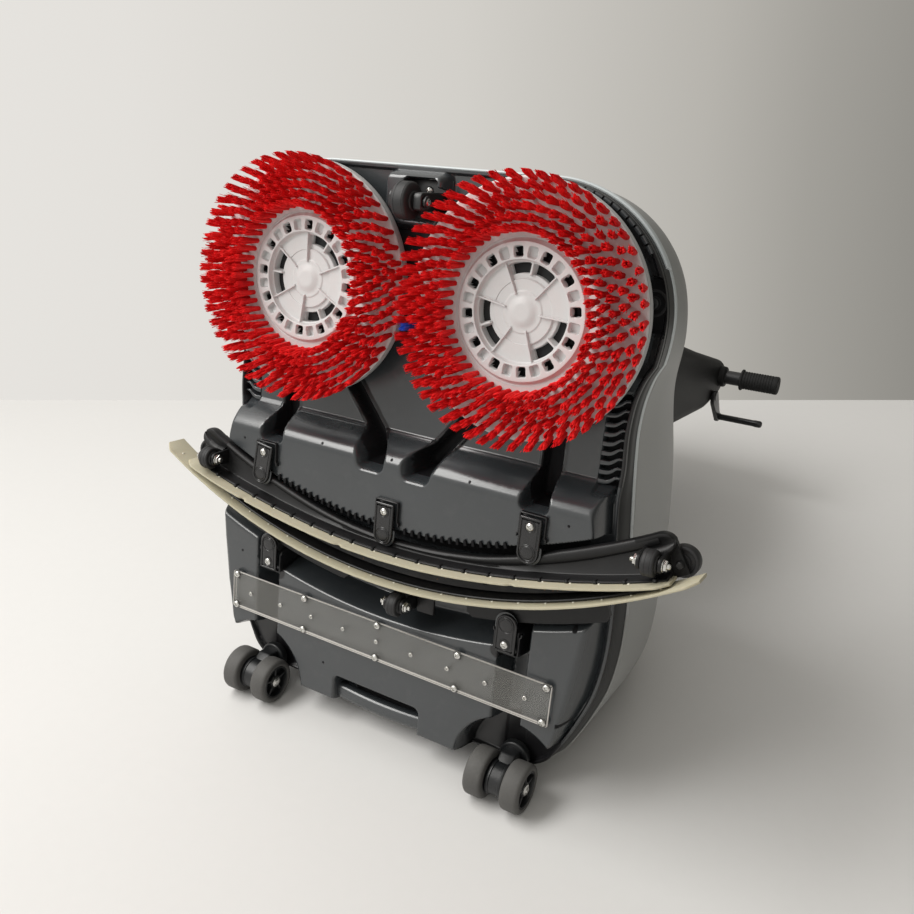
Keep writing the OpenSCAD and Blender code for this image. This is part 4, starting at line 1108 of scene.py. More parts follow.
# tab beside the rear roller
v, f = cbox(16, 40, 346, 372, 36.2, 41.2, 2.0)
fr_.add(swung(v), f, 0)
fr_.mesh("squeegee_frame_body", [M["sqz"], M["channel"], M["grit"]], "squeegee", rep="squeegee_frame", slot="black_plastic", angle=38)

# blades, with the small moulded nubs along the holders and a few worn bites
def blade_sweep(r_of, t, half, z0, z1, bites, name, node, nubz, off=0.0):
    angs = arcs(-half + off, half + off, 0.22)
    secs = []
    for a in angs:
        r = r_of(a)
        zt = z0 + 0.25 * math.sin(a * 3.1) * math.sin(a * 1.7 + 1)
        for b, dep in bites:
            u = (a - b) / 0.45
            if abs(u) < 1:
                zt += dep * (1 - u * u)
        end = min(1.0, (half - abs(a - off)) / 1.1)
        zz = zt + 9.0 * (1 - end) ** 1.3
        secs.append([(r + 0.15, z1), (r, zz + 1.2), (r + 0.5, zz + 0.2), (r + t / 2, zz), (r + t - 0.5, zz + 0.2), (r + t, zz + 1.2), (r + t - 0.15, z1)])
    so = Soup().add(*sweep(secs, angs), 0)
    for n_ in range(-11, 11):
        k = -0.2 + n_ * 2.78
        if abs(k - off) > half - 1.4:
            continue
        ss, aa = [], [k - 0.10, k - 0.05, k + 0.05, k + 0.10]
        for i, a1 in enumerate(aa):
            r = r_of(a1)
            e = 0.4 if i in (0, 3) else 0.0
            ss.append([(r + 0.2, nubz + 2.0 - e), (r - 0.9 + e, nubz + 1.4 - e), (r - 0.9 + e, nubz - 0.4 + e), (r + 0.2, nubz - 1.0 + e)])
        so.add(*sweep(ss, aa), 1)
    return so.mesh(name, [M["blade"], M["nub"]], "squeegee", rep=node, slot="blade_rubber", angle=45)


blade_sweep(lambda a: r_front(a) - 1.5, 3.0, 29.05, 0.6, 34, [(-20.5, 3.2), (-6.9, 3.4), (13.6, 2.6)], "front_blade_strip", "front_blade", 15.4, -0.45)
blade_sweep(lambda a: 671.3, 3.0, 32.0, 0.0, 34.6, [], "rear_blade_strip", "rear_blade", 12.6, -0.85)
cl = Soup()
angs = arcs(-27, 27, 0.5)
cl.add(*sweep([[(674.3, 30), (674.3, 17), (674.7, 16.2), (676.2, 16.2), (676.8, 17), (676.8, 29), (676.2, 30)] for _ in angs], angs))
for a in np.arange(-24, 25, 8.0):
    v, f = lathe([(0, 3.6), (2.2, 3.4), (3.6, 2.4), (4.0, 0.6), (4.0, -1)], 16)
    v = v[:, [0, 2, 1]]
    v = spun(v, -a) + np.array([676.8 * math.sin(math.radians(a)), 676.8 * math.cos(math.radians(a)) - ARC_C, 23])
    cl.add(swung(v), [tuple(reversed(q)) for q in f])
cl.mesh("blade_clamp_strip", [M["black"]], "squeegee", rep="blade_clamp", slot="black_plastic")

# bolts and rollers
def hexa(r, h, b=0.6):
    t = np.radians(np.arange(0, 360, 60))
    return plate(np.column_stack([r * np.cos(t), r * np.sin(t)]), 0, h, b, b, 2)


def stud(L, r=3.0, pitch=1.0):
    prof = [(0, 0), (r - 0.9, 0), (r - 0.2, 0.8)]
    h = 0.8
    while h < L:
        prof += [(r, h + 0.25 * pitch), (r - 0.35, h + 0.75 * pitch)]
        h += pitch
    prof += [(r, L)]
    return lathe(prof, 18)


bo = Soup()
for qx, qy in ROLL:
    o = np.array([qx, qy, 14.5])
    core = lathe([(0, -15), (3.0, -15), (3.0, 15), (0, 15)], 20)
    bo.add(roll_at(place(core[0], o, "x")), core[1])
    v, f = stud(8.5)
    bo.add(roll_at(place(v, o + np.array([-21.0, 0, 0]), "x")), f)
    for x0, kind in ((-16.8, "nut"), (-14.0, "washer"), (13.0, "washer"), (14.2, "nut")):
        if kind == "nut":
            v, f = hexa(6.0, 3.4)
        else:
            v, f = lathe([(0, 0), (6.6, 0), (6.9, 0.3), (6.9, 0.8), (6.6, 1.1), (0, 1.1)], 24)
        bo.add(roll_at(place(v, o + np.array([x0, 0, 0]), "x")), f)
    v, f = lathe([(3.0, 0), (3.0, 2.2), (2.6, 3.0), (1.4, 3.5), (0, 3.6)], 20)
    bo.add(roll_at(place(v, o + np.array([17.4, 0, 0]), "x")), f)
BA = math.radians(29.4)
for s in (-1, 1):
    o = np.array([s * 662 * math.sin(BA), 662 * math.cos(BA) - ARC_C, 0])
    v, f = lathe([(0, 34.2), (3.0, 34.2), (3.6, 34.8), (4.0, 35.6), (4.0, 60.6), (6.6, 60.8), (7.0, 61.3), (7.0, 63.2), (6.4, 63.8), (0, 64.2)], 24)
    bo.add(swung(v + o, 0.0, SWING), f, 1)
bo.mesh("roller_bolt_set", [M["steel"], M["black"]], "squeegee", rep="roller_bolts", slot="steel", angle=40)


def small_roller(node, q, r=14.0, w=7.0):
    prof = [(3.1, -w - 1.4), (8.4, -w - 1.4), (9.0, -w - 0.8), (9.2, -w + 0.4), (r - 1.6, -w + 0.2), (r - 0.5, -w + 0.9), (r, -w + 2.4)]
    prof += [(r + 0.05, 0.0)] + [(a, -b) for a, b in reversed(prof)]
    v, f = lathe(prof, 56)
    so = Soup().add(roll_at(place(v, (q[0], q[1], 14.5), "x")), f)
    for d in (-2.6, 2.6):
        v, f = lathe([(r - 0.6, d - 0.5), (r + 0.28, d - 0.35), (r + 0.28, d + 0.35), (r - 0.6, d + 0.5)], 56)
        so.add(roll_at(place(v, (q[0], q[1], 14.5), "x")), f)
    return so.mesh(node + "_barrel", [M["rubberdark"]], node, rep=node, slot="wheel_rubber", angle=40)


small_roller("right_end_roller", ROLL[0])
small_roller("left_end_roller", ROLL[1])
small_roller("rear_roller", ROLL[2])
for s, nm in ((-1, "left_bumper_wheel"), (1, "right_bumper_wheel")):
    o = np.array([s * 662 * math.sin(BA), 662 * math.cos(BA) - ARC_C, 46.2])
    v, f = lathe([(4.1, 0.4), (7.6, 0.4), (8.2, 1.0), (8.6, 2.4), (12.2, 2.6), (12.8, 1.2), (13.6, 0.3), (15.4, 0.2), (16.5, 0.8), (17, 2.0), (17, 11.6), (16.4, 12.8), (15.2, 13.4), (12.6, 13.4), (12, 11.6), (8.4, 11.4), (7.8, 13.2), (4.1, 13.4), (4.1, 0.4)], 56)
    build(nm + "_tyre", swung(v + o, 0.0, SWING), f, M["rubberdark"], nm, rep=nm, slot="wheel_rubber", angle=40)

# ------------------------------------------------------------------ latches
def stadium(d, w, y0=-10.4, r=1.2):
    """Square end at y0, round end of half-width w about (0, d)."""
    out = [(-w, y0 + r)] + [(-w + r * (1 - math.cos(t)), y0 + r * (1 - math.sin(t))) for t in np.linspace(0.2, 1.4, 3)]
    out = [(-w + r - r * math.cos(t), y0 + r - r * math.sin(t)) for t in np.linspace(0, math.pi / 2, 4)]
    out += [(w - r + r * math.sin(t), y0 + r - r * math.cos(t)) for t in np.linspace(0, math.pi / 2, 4)]
    out += [(w * math.cos(t), d + w * math.sin(t)) for t in np.linspace(0, math.pi, 25)]
    return np.array(out)


def latch_piece(node, p, d, turn):
    so = Soup()
    outer = ccw(stadium(d, 13.0))
    so.add(*plate(outer, 28.6, 31.8, 0.6, 0.4, 3), 0)
    # raised rim: a ring between the outline and a smaller one
    i1, i2, i3, i4 = inset(outer, 0.0), inset(outer, 0.7), inset(outer, 2.1), inset(outer, 2.7)
    loops = [np.column_stack([q, np.full(len(q), z)]) for q, z in ((i1, 29.8), (i1, 28.3), (i2, 27.5), (i3, 27.5), (i4, 28.2), (i4, 29.8))]
    so.add(*loft(loops, False, False), 0)
    # inner panel with its own soft edge
    so.add(*plate(inset(outer, 4.0), 28.0, 29.8, 0.5, 0, 3), 0)
    v, f = lathe([(0, 27.3), (2.5, 27.3), (6.3, 27.3), (7.0, 27.45), (7.5, 27.8), (7.8, 28.4), (7.8, 29.0)], 40)
    so.add(v + np.array([0, d, 0]), [tuple(reversed(q)) for q in f], 0)
    v, f = lathe([(8.5, 29.0), (8.6, 27.8), (9.0, 27.5), (9.5, 27.8), (9.6, 29.0)], 36)
    so.add(v + np.array([0, d, 0]), [tuple(reversed(q)) for q in f], 0)
    v, f = lathe([(5.4, 29.0), (5.6, 27.9), (6.2, 27.4), (7.0, 27.5), (7.4, 28.1), (7.5, 29.0)], 32)
    so.add(v, [tuple(reversed(q)) for q in f], 0)
    # pale washer plate that peeps out behind the round end
    back = ccw(stadium(d, 13.9, d - 9.0, 2.0)) + np.array([1.4, 1.0])
    so.add(*plate(back, 31.0, 32.3, 0.4, 0.3, 2), 1)
    v = np.vstack(so.v)
    v = spun(v, turn) + np.array([p[0], p[1], 0])
    return build(node + "_plate", v, so.f, None, node, rep=node, slot="black_plastic", mats=[M["latch"], M["chassis"]], fmat=so.m, angle=38)


M["latch"] = material("latch_plastic", (0.0095, 0.0095, 0.0105), 0.27, bump=0.06, scale=700, var=0.2, rough_var=0.06, dust=0.06, dust_color=(0.05, 0.05, 0.05), spec=0.6)
LATCH = [("front_left_latch", (-188, 223.5), 30, 8), ("front_right_latch", (188, 223.5), 30, 0), ("front_centre_latch", (0, 255.1), 29, 0),
         ("rear_left_latch", (-174, 369.8), 24, 180), ("rear_right_latch", (174, 369.8), 24, 180)]
for nm, p, d, t in LATCH:
    latch_piece(nm, p, d, t)


def pan_screw(r, zface, h, shank=0.0, turn=20.0):
    """Cross-head pan screw; its crown points to -z."""
    prof_r = [0.0, 0.16, 0.3, 0.42, 0.55, 0.7, 0.82, 0.92, 0.98, 1.0]
    n = 48
    th = np.linspace(0, 2 * math.pi, n, endpoint=False)
    verts, rows = [], []
    for pr in prof_r:
        dome = h * (1 - (1 - math.sqrt(max(0, 1 - (pr * 0.96) ** 2))) * 0.9)
        row_ = []
        for t in ([0.0] if pr == 0 else th):
            x, y = pr * math.cos(t), pr * math.sin(t)
            arm = min(abs(x), abs(y))
            reach = max(abs(x), abs(y))
            cut = 0.30 * h * 1.6 if (arm < 0.14 and reach < 0.52) else 0.0
            row_.append(len(verts))
            verts.append((r * x, r * y, -(dome - cut)))
        rows.append(row_)
    row_ = []
    for t in th:
        row_.append(len(verts))
        verts.append((r * math.cos(t), r * math.sin(t), 0.0))
    rows.append(row_)
    if shank:
        row_ = []
        for t in th:
            row_.append(len(verts))
            verts.append((0.5 * r * math.cos(t), 0.5 * r * math.sin(t), 0.02))
        rows.append(row_)
        row_ = []
        for t in th:
            row_.append(len(verts))
            verts.append((0.5 * r * math.cos(t), 0.5 * r * math.sin(t), shank))
        rows.append(row_)
    faces = []
    for a, b in zip(rows, rows[1:]):
        for i in range(n):
            j = (i + 1) % n
            if len(a) == 1:
                faces.append((a[0], b[i], b[j]))
            else:
                faces.append((a[i], b[i], b[j], a[j]))
    faces.append(tuple(rows[-1]))
    v = spun(np.array(verts), turn)
    v[:, 2] += zface
    return v, faces


so = Soup()
for nm, p, d, t in LATCH:
    v, f = pan_screw(4.7, 28.2, 3.2, 20, rng.uniform(0, 90))
    so.add(v + np.array([p[0], p[1], 0]), f)
so.mesh("latch_screw_set", [M["steel"]], "chassis", rep="latch_screws", slot="steel", angle=32)

# ------------------------------------------------------------------ clear strip
SX = [-229.4 + 114.7 * k for k in range(5)]
st = Soup()
st.add(*plate(rounded([(-236, 402), (236, 402), (236, 453.6), (-236, 453.6)], 2.5, 4), 32.2, 34.8, 0.5, 0.5, 2), 0)
# ground edges, drawn as pale strips: partly their frosted colour, partly a painted highlight
for x0, x1, y0, y1, z0, z1 in ((-235, 235, 401.8, 402.4, 31.9, 34.6), (-235, 235, 450.2, 451.6, 31.7, 33.0), (-235, 235, 452.9, 453.8, 31.8, 34.7),
                               (-236.1, -235.2, 403, 453, 31.9, 34.6), (235.2, 236.1, 403, 453, 31.9, 34.6), (-231.8, -231.2, 408, 448, 31.85, 32.6)):
    st.add(*cbox(x0, x1, y0, y1, z0, z1, 0.25), 1)
# dark rings round the screws: washers pressed into the sheet, darkened as painted shadow round the heads
for x in SX:
    for y in (405.8, 449.8):
        v, f = lathe([(4.4, 32.4), (4.5, 31.9), (4.8, 31.7), (5.5, 31.7), (5.9, 31.9), (6.1, 32.5)], 36)
        st.add(v + np.array([x, y, 0]), [tuple(reversed(q)) for q in f], 2)
# dark, half-clear ring colour that paints the shadow round the screw heads
M["washer"] = material("sheet_washer_shadow", (0.06, 0.058, 0.054), 0.18, bump=0.04, scale=300, var=0.08, alpha=0.6, spec=0.6)
M["mark"] = material("sheet_mark", (0.62, 0.60, 0.56), 0.25, bump=0.04, scale=300, var=0.08, alpha=0.45, spec=0.6)
st.mesh("splash_strip_sheet", [M["clear"], M["clearedge"], M["washer"], M["mark"]], "chassis", rep="splash_strip", slot="clear_plastic", angle=40)
fs = Soup()
for x in SX:
    for y in (405.8, 449.8):
        v, f = pan_screw(4.5, 31.8, 3.2, 9, rng.uniform(0, 90))
        fs.add(v + np.array([x, y, 0]), f)
for k in range(9):
    v, f = lathe([(0, 32.6), (1.35, 32.5), (1.5, 31.5), (1.75, 31.0), (2.2, 30.8), (2.7, 31.1), (3.0, 31.8), (3.05, 32.6), (1.9, 32.7), (1.5, 35)], 28)
    fs.add(v + np.array([-205 + k * 51.25, 427.8, 0]), [tuple(reversed(q)) for q in f])
fs.mesh("strip_screw_set", [M["steel"]], "chassis", rep="strip_fasteners", slot="steel", angle=32)

# ------------------------------------------------------------------ front and side rollers
prof = [(4.1, -15.8), (9.5, -15.8), (10.2, -15.2), (10.6, -13.6), (15.2, -13.4), (17.0, -13.0), (18.8, -11.9), (19.7, -10.2), (20.0, -8.0)]
prof = [(a, 0.7 * b) for a, b in prof]
prof += [(20.05, 0)] + [(a, -b) for a, b in reversed(prof)]
v, f = lathe(prof, 72)
fr2 = Soup().add(place(v, (0, -101, 28), "x"), f)
for d in (-5.0, 5.0):
    v, f = lathe([(19.2, d - 0.9), (20.3, d - 0.6), (20.3, d + 0.6), (19.2, d + 0.9)], 72)
    fr2.add(place(v, (0, -101, 28), "x"), f)
fr2.mesh("front_roller_barrel", [M["rubberdark"]], "front_roller", rep="front_roller", slot="wheel_rubber", angle=40)
bk = Soup()
bk.add(*cbox(-30, 30, -125, -77, 74.2, 78.4, 1.0))
for s in (-1, 1):
    poly = rounded([(-110.5, 19), (-91.5, 19), (-90.5, 76), (-111.5, 76)], [5.5, 5.5, 0.5, 0.5], 6)
    hw = 5.2 if s > 0 else 2.2
    v, f = plate(poly, -hw, hw, 1.4, 1.4, 3)
    bk.add(np.column_stack([v[:, 2] + s * (13.6 + hw), v[:, 0], v[:, 1]]), f)
bk.mesh("front_roller_fork", [M["hub"]], "chassis", rep="front_roller_bracket", slot="chassis_plastic", angle=40)
ax_ = Soup()
v, f = lathe([(0, -20.4), (3.0, -20.4), (4.0, -19.4), (4.0, 28.0), (3.0, 29.0), (0, 29.0)], 28)
ax_.add(place(v, (0, -101, 28), "x"), f)
for x in (24.2,):
    v, f = lathe([(4.0, 0), (5.9, 0), (6.5, 0.6), (6.5, 3.0), (5.9, 3.6), (4.0, 3.6)], 28)
    ax_.add(place(v, (x, -101, 28), "x"), f, 1)
for y in (-113, -89):
    v, f = pan_screw(4.5, 74.2, 3.0, 12, 30)
    ax_.add(v + np.array([0, y, 0]), f)
for s in (-1, 1):
    v, f = lathe([(0, 83.6), (4.6, 83.6), (5.6, 84.2), (6, 85.0), (6, 86.2), (4, 86.4), (4, 103)], 28)
    ax_.add(v + np.array([s * 268, -24, 0]), [tuple(reversed(q)) for q in f], 1)
ax_.mesh("roller_axle_set", [M["steel"], M["hub"]], "chassis", rep="roller_axles", slot="steel", angle=40)
for s, nm in ((-1, "left_side_roller"), (1, "right_side_roller")):
    v, f = lathe([(4.1, 86.8), (7, 86.8), (7.6, 87.6), (10.6, 88.0), (11.4, 86.9), (13.2, 86.6), (14.6, 87.2), (15.2, 88.8), (15.2, 99.6), (14.4, 101), (13, 101.4), (4.1, 101.4), (4.1, 86.8)], 60)
    build(nm + "_tyre", v + np.array([s * 268, -24, 0]), f, M["rubberdark"], nm, rep=nm, slot="wheel_rubber", angle=40)

# ------------------------------------------------------------------ casters
def wheel_piece(node, s, o):
    so = Soup()
    W, R = 25.0, 30.0
    tyre = [(21.4, 0.6), (R - 4.4, 0.6), (R - 2.2, 1.2), (R - 0.7, 2.8), (R, 5.2), (R + 0.0, W / 2), (R, W - 5.2), (R - 0.7, W - 2.8), (R - 2.2, W - 1.2), (R - 4.4, W - 0.5), (R - 6.2, W - 0.4), (R - 7.4, W - 1.0), (R - 7.8, W - 2.2)]
    so.add(*lathe(tyre, 96), 0)
    rim = [(R - 7.6, W - 3.4), (R - 8.0, W - 1.6), (R - 8.6, W - 1.1), (R - 9.6, W - 1.2), (R - 10.0, W - 2.0), (R - 10.2, W - 9), (9.2, W - 9.6), (8.9, W - 4.2), (8.3, W - 3.2), (7.2, W - 3.0), (5.6, W - 3.0), (4.2, W - 3.4), (4.1, W - 8)]
    so.add(*lathe(rim, 72), 1)
    so.add(*lathe([(21.4, 0.6), (20.6, 0.2), (9, 0.2), (4.1, 0.4)][::-1], 72), 1)
    for k in range(5):
        v, f = cbox(8.4, 20.4, -1.6, 1.6, W - 10, W - 3.4, 0.8)
        so.add(spun(v, 36 + 72 * k), f, 1)
    v = np.vstack(so.v)
    v[:, 2] += 11.5
    fl = so.f
    if o < 0:
        v[:, 2] *= -1
        fl = [tuple(reversed(q)) for q in so.f]
    v = np.column_stack([v[:, 2], v[:, 0], v[:, 1]]) + np.array([s * 188, 541, 30])
    return build(node + "_wheel", v, fl, None, node, rep=node, slot="wheel_rubber", mats=[M["rubber"], M["hub"]], fmat=so.m, angle=36)


for node, s, o in (("left_outer_wheel", -1, -1), ("left_inner_wheel", -1, 1), ("right_inner_wheel", 1, -1), ("right_outer_wheel", 1, 1)):
    wheel_piece(node, s, o)
for s, nm in ((-1, "left_caster"), (1, "right_caster")):
    o = np.array([s * 188, 541, 30.0])
    so = Soup()
    v, f = lathe([(4.1, -10.8), (16, -10.8), (20.4, -10.2), (21, -9.4), (21, -6.6), (19.8, -5.8), (19.6, 5.8), (21, 6.6), (21, 9.4), (20.4, 10.2), (16, 10.8), (4.1, 10.8)], 56)
    so.add(place(v, o, "x"), f)
    poly = rounded([(-12.5, -4), (10, -4), (13, 36), (-14.5, 40), (-22, 34), (-24, 14)], [3, 6, 2, 2, 4, 8], 5)
    v, f = plate(poly, -10.2, 10.2, 2.6, 2.6, 3)
    so.add(np.column_stack([v[:, 2], v[:, 0] - 2, v[:, 1] + 1.5]) + o, f)
    v, f = lathe([(7.8, 60.5), (16.4, 60.5), (18.2, 61.2), (19, 62.6), (19, 69.6), (18, 71), (8, 71.2), (8, 99), (7, 100), (0, 100)], 40)
    so.add(v + np.array([s * 188, 528, 0]), f)
    so.mesh(nm + "_fork_body", [M["hub"]], nm, rep=nm + "_fork", slot="black_plastic", angle=40)
    v, f = lathe([(0, -36.4), (3.2, -36.4), (4.0, -35.4), (5.6, -35.2), (6.8, -34.6), (7.0, -33.8), (7.0, -33.2), (6.6, -32.6), (4.0, -32.4), (4.0, 32.4), (6.6, 32.6), (7.0, 33.2), (7.0, 33.8), (6.8, 34.6), (5.6, 35.2), (4.0, 35.4), (3.2, 36.4), (0, 36.4)], 32)
    build(nm + "_axle_pin", place(v, o, "x"), f, M["steel"], nm, rep=nm + "_axle", slot="steel", angle=40)

# ------------------------------------------------------------------ handle and tank fittings
def across(so, poly, x0, x1, b, n=4, m=0):
    """A (y, z) outline carried across x, with rounded edges."""
    v, f = plate(ccw(np.asarray(poly, float)), x0, x1, b, b, n)
    so.add(np.column_stack([v[:, 2], v[:, 0], v[:, 1]]), f, m)


def eye(so, poly, c, r, x0, x1, b=1.2, n=72, m=0):
    """A lug in the (y, z) plane with a round bore at c."""
    poly = np.asarray(poly, float)
    out, inn = [], []
    for t in np.linspace(0, 2 * math.pi, n, endpoint=False):
        d = np.array([math.cos(t), math.sin(t)])
        best = 0.0
        for p, q in zip(poly, np.roll(poly, -1, 0)):
            e = q - p
            den = d[0] * e[1] - d[1] * e[0]
            if abs(den) < 1e-9:
                continue
            w = p - c
            k = (w[0] * e[1] - w[1] * e[0]) / den
            u = (w[0] * d[1] - w[1] * d[0]) / den
            if k > 0 and -1e-6 <= u <= 1 + 1e-6:
                best = max(best, k)
        out.append((best, d))
        inn.append(d)
    loops = []
    for x, dr, bore in ((x0, -b, False), (x0 + b * 0.3, -b * 0.3, False), (x0 + b, 0, False), (x1 - b, 0, False), (x1 - b * 0.3, -b * 0.3, False), (x1, -b, False),
                        (x1, 0.6, True), (x1 - 0.6, 0, True), (x0 + 0.6, 0, True), (x0, 0.6, True), (x0, -b, False)):
        loops.append(np.array([[x, c[0] + ((r + dr) if bore else (k + dr)) * d[0], c[1] + ((r + dr) if bore else (k + dr)) * d[1]] for k, d in out]))
    v, f = loft(loops, False, False)
    so.add(v, f, m)


HC = np.array([145.0, 442.0])
COL = [(96, 470), (160, 470), (200, 506), (238, 640), (242, 880), (226, 972), (192, 1003), (160, 988), (124, 800), (90, 640), (84, 506)]
RAD = [26, 40, 60, 150, 150, 40, 26, 30, 50, 100, 60]
pod = rounded(COL, RAD, 9)
hd = Soup()
across(hd, pod, -117.6, 117.6, 1.2, 3)
across(hd, inset(ccw(pod), 1.6), -119, 119, 0.2, 1, 1)
for s in (-1, 1):
    a0, a1 = sorted((s * 118.4, s * 150))
    v, f = plate(ccw(pod), a0, a1, 20 if s < 0 else 1.2, 1.2 if s < 0 else 20, 8)
    hd.add(np.column_stack([v[:, 2], v[:, 0], v[:, 1]]), f, 0)
# lugs of the hinge
arc_ = [(145 + 20 * math.cos(t), 442 + 20 * math.sin(t)) for t in np.linspace(math.pi, 2 * math.pi, 30)]
for s in (-1, 1):
    eye(hd, arc_ + [(163, 478), (125, 478)], HC, 10.3, s * 74 - 8, s * 74 + 8)
# control panel with its frame, a row of ribs below it and a pair of long ribs at its sides, lower down
hd.add(*cbox(-44, 44, 226, 234.0, 891, 969, 3.0), 0)
hd.add(*cbox(-38.5, 38.5, 230, 235.2, 896.5, 963.5, 1.0), 2)
for k in range(6):
    hd.add(*cbox(-46, 46, 236, 242.6, 742 + 14 * k, 748 + 14 * k, 1.4), 0)
for s in (-1, 1):
    hd.add(*cbox(min(s * 84, s * 92), max(s * 84, s * 92), 236, 242.4, 560 + 70, 860, 1.6), 0)
# boss round the knob, pivot boss of the lever and the sockets of the bar
v, f = lathe([(5.0, 0), (15.5, 0), (17.5, 1.0), (18.2, 3.0), (18.4, 14.0)], 48)
v = v[:, [0, 2, 1]] * np.array([1, 1, 1])
hd.add(v + np.array([128, 85.4, 655]), [tuple(reversed(q)) for q in f], 0)
v, f = lathe([(0, -6), (5, -6), (5, 12.2), (8.6, 12.4), (9.2, 13.0), (9.2, 15.2), (8.4, 16.0), (0, 16.2)], 32)
hd.add(place(v, (144, 216, 905), "x"), f, 2)
for s in (-1, 1):
    v, f = lathe([(13.2, 10.5), (17.5, 10.5), (18.8, 9.4), (19.4, 7.6), (20.4, -1.0), (22, -4.0)], 48)
    hd.add(place(v, (s * 150, 185, 950), "x", flip=s < 0), f if s > 0 else f, 0)
M["seam"] = material("console_seam", (0.008, 0.008, 0.008), 0.6, bump=0.2, scale=600, var=0.2, spec=0.3)
M["panel"] = material("panel_film", (0.014, 0.015, 0.016), 0.30, bump=0.08, scale=900, var=0.15, rough_var=0.05, spec=0.5)
hd.mesh("handle_pod", [M["console"], M["seam"], M["panel"]], "handle", rep="handle_column", slot="console_plastic", angle=38)

v, f = lathe([(0, -255), (11.4, -255), (12.6, -254.4), (13, -253), (13, -152), (13.0, 152), (13, 253), (12.6, 254.4), (11.4, 255), (0, 255)], 48)
build("handle_tube", place(v, (0, 185, 950), "x"), f, M["bar"], "handle", rep="handle_bar", slot="bar_metal", angle=40)
gr = Soup()
for s in (-1, 1):
    prof = [(13.05, 188.6), (18.6, 188.6), (19.8, 189.4), (20, 190.6), (20, 191.6), (19.4, 192.6), (17.4, 193.4)]
    x = 195.0
    while x < 246:
        prof += [(17.0, x), (17.0, x + 2.6), (16.1, x + 3.2), (16.1, x + 4.2)]
        x += 4.9
    prof += [(17, 249), (17, 255.4), (16.4, 257), (15, 257.9), (13, 258), (0, 258)]
    v, f = lathe(prof, 48)
    v = np.column_stack([v[:, 2] * s, v[:, 0] + 185, v[:, 1] + 950])
    gr.add(v, f if s > 0 else [tuple(reversed(q)) for q in f])
gr.mesh("handle_grip_pair", [M["grip"]], "handle", rep="handle_grips", slot="grip_rubber", angle=36)
lv = Soup()
across(lv, rounded([(206, 896), (228, 893), (274, 952), (274, 974), (262, 974), (256, 958), (208, 916)], [9, 11, 9, 5, 4, 10, 9], 5), 151.2, 158.8, 1.6, 3)
v, f = lathe([(0, 0), (6, 0), (6, 70), (6.6, 74), (6.6, 82), (5.6, 85), (3.4, 86.4), (0, 86.8)], 28)
lv.add(place(v, (153, 266, 962), "x"), f)
lv.mesh("drive_lever_arm", [M["black"]], "drive_lever", rep="drive_lever", slot="black_plastic", angle=38)
kb = Soup()
th = np.linspace(0, 2 * math.pi, 96, endpoint=False)
loops = []
for y, r, fl in ((62.2, 9.4, 0.0), (62.6, 10.6, 0.2), (63.6, 11.8, 0.6), (65.4, 12.5, 1.0), (80, 12.9, 1.0), (82.6, 12.9, 0.6), (84, 12.2, 0.0)):
    rr = r - 0.85 * fl * (0.5 + 0.5 * np.cos(12 * th)) ** 2
    loops.append(np.column_stack([128 + rr * np.cos(th), np.full(96, y), 655 - rr * np.sin(th)]))
kb.add(*loft(loops), 0)
kb.add(*cbox(126.6, 129.4, 61.6, 63, 646, 655, 0.4), 1)
v, f = lathe([(4, 0), (4, 26)], 24)
kb.add(v[:, [0, 2, 1]] + np.array([128, 84, 655]), [tuple(reversed(q)) for q in f], 1)
kb.mesh("solution_knob_cap", [M["blue"], M["bluemark"] if "bluemark" in M else M["blue"]], "solution_knob", rep="solution_knob", slot="blue_plastic", angle=36)
for nm, x, mt, sl in (("start_button", -22, "green", "green_plastic"), ("suction_button", 22, "blue", "blue_plastic")):
    v, f = lathe([(0, 216.2), (11, 216.2), (11, 223.4), (9.2, 224), (9, 225), (9, 240.2), (8.6, 241.2), (7.6, 241.8), (6.6, 241.9), (5.6, 241.4), (0, 241.0)], 40)
    v = v[:, [0, 2, 1]]
    build(nm + "_cap", v + np.array([x, 0, 925]), [tuple(reversed(q)) for q in f], M[mt], nm, rep=nm, slot=sl, angle=36)
v, f = lathe([(0, -104), (12.4, -104), (13.6, -103.4), (14, -102.4), (14, -99.2), (13.4, -98.5), (10, -98.5), (10, 98.5), (13.4, 98.5), (14, 99.2), (14, 102.4), (13.6, 103.4), (12.4, 104), (0, 104)], 40)
build("hinge_rod", place(v, (0, 145, 442), "x"), f, M["steeldull"], "chassis", rep="hinge_pins", slot="steel", angle=36)
# cap of the filler
cp = Soup()
th = np.linspace(0, 2 * math.pi, 240, endpoint=False)
loops = []
for z, r, fl in ((428.4, 46.4, 0), (429.2, 47.6, 0.5), (430.2, 48, 1), (440.4, 48, 1), (442.2, 47.2, 0.7), (443.6, 45.4, 0.2), (444.2, 42.6, 0), (444.2, 36, 0), (443.0, 34.6, 0), (442.6, 20, 0)):
    rr = r - 1.1 * fl * np.clip(0.5 + 1.1 * np.cos(40 * th), 0, 1)
    loops.append(np.column_stack([rr * np.cos(th), 400 + rr * np.sin(th), np.full(240, z)]))
cp.add(*loft(loops), 0)
cp.add(*cbox(-39, 39, 394.4, 405.6, 440, 453.8, 2.4), 0)
v, f = lathe([(0, 415.2), (30, 415.2), (33.2, 416.4), (33.6, 418), (33.6, 429)], 64)
cp.add(v + np.array([0, 400, 0]), [tuple(reversed(q)) for q in f], 0)
cp.mesh("filler_cap_body", [M["blue"]], "filler_cap", rep="filler_cap", slot="blue_plastic", angle=36)

# ------------------------------------------------------------------ stage, light, camera
def stage_plane(name, pts, mat):
    me = bpy.data.meshes.new(name)
    me.from_pydata(pts, [], [list(range(len(pts)))])
    ob = bpy.data.objects.new(name, me)
    bpy.context.scene.collection.objects.link(ob)
    me.materials.append(mat)
    return ob


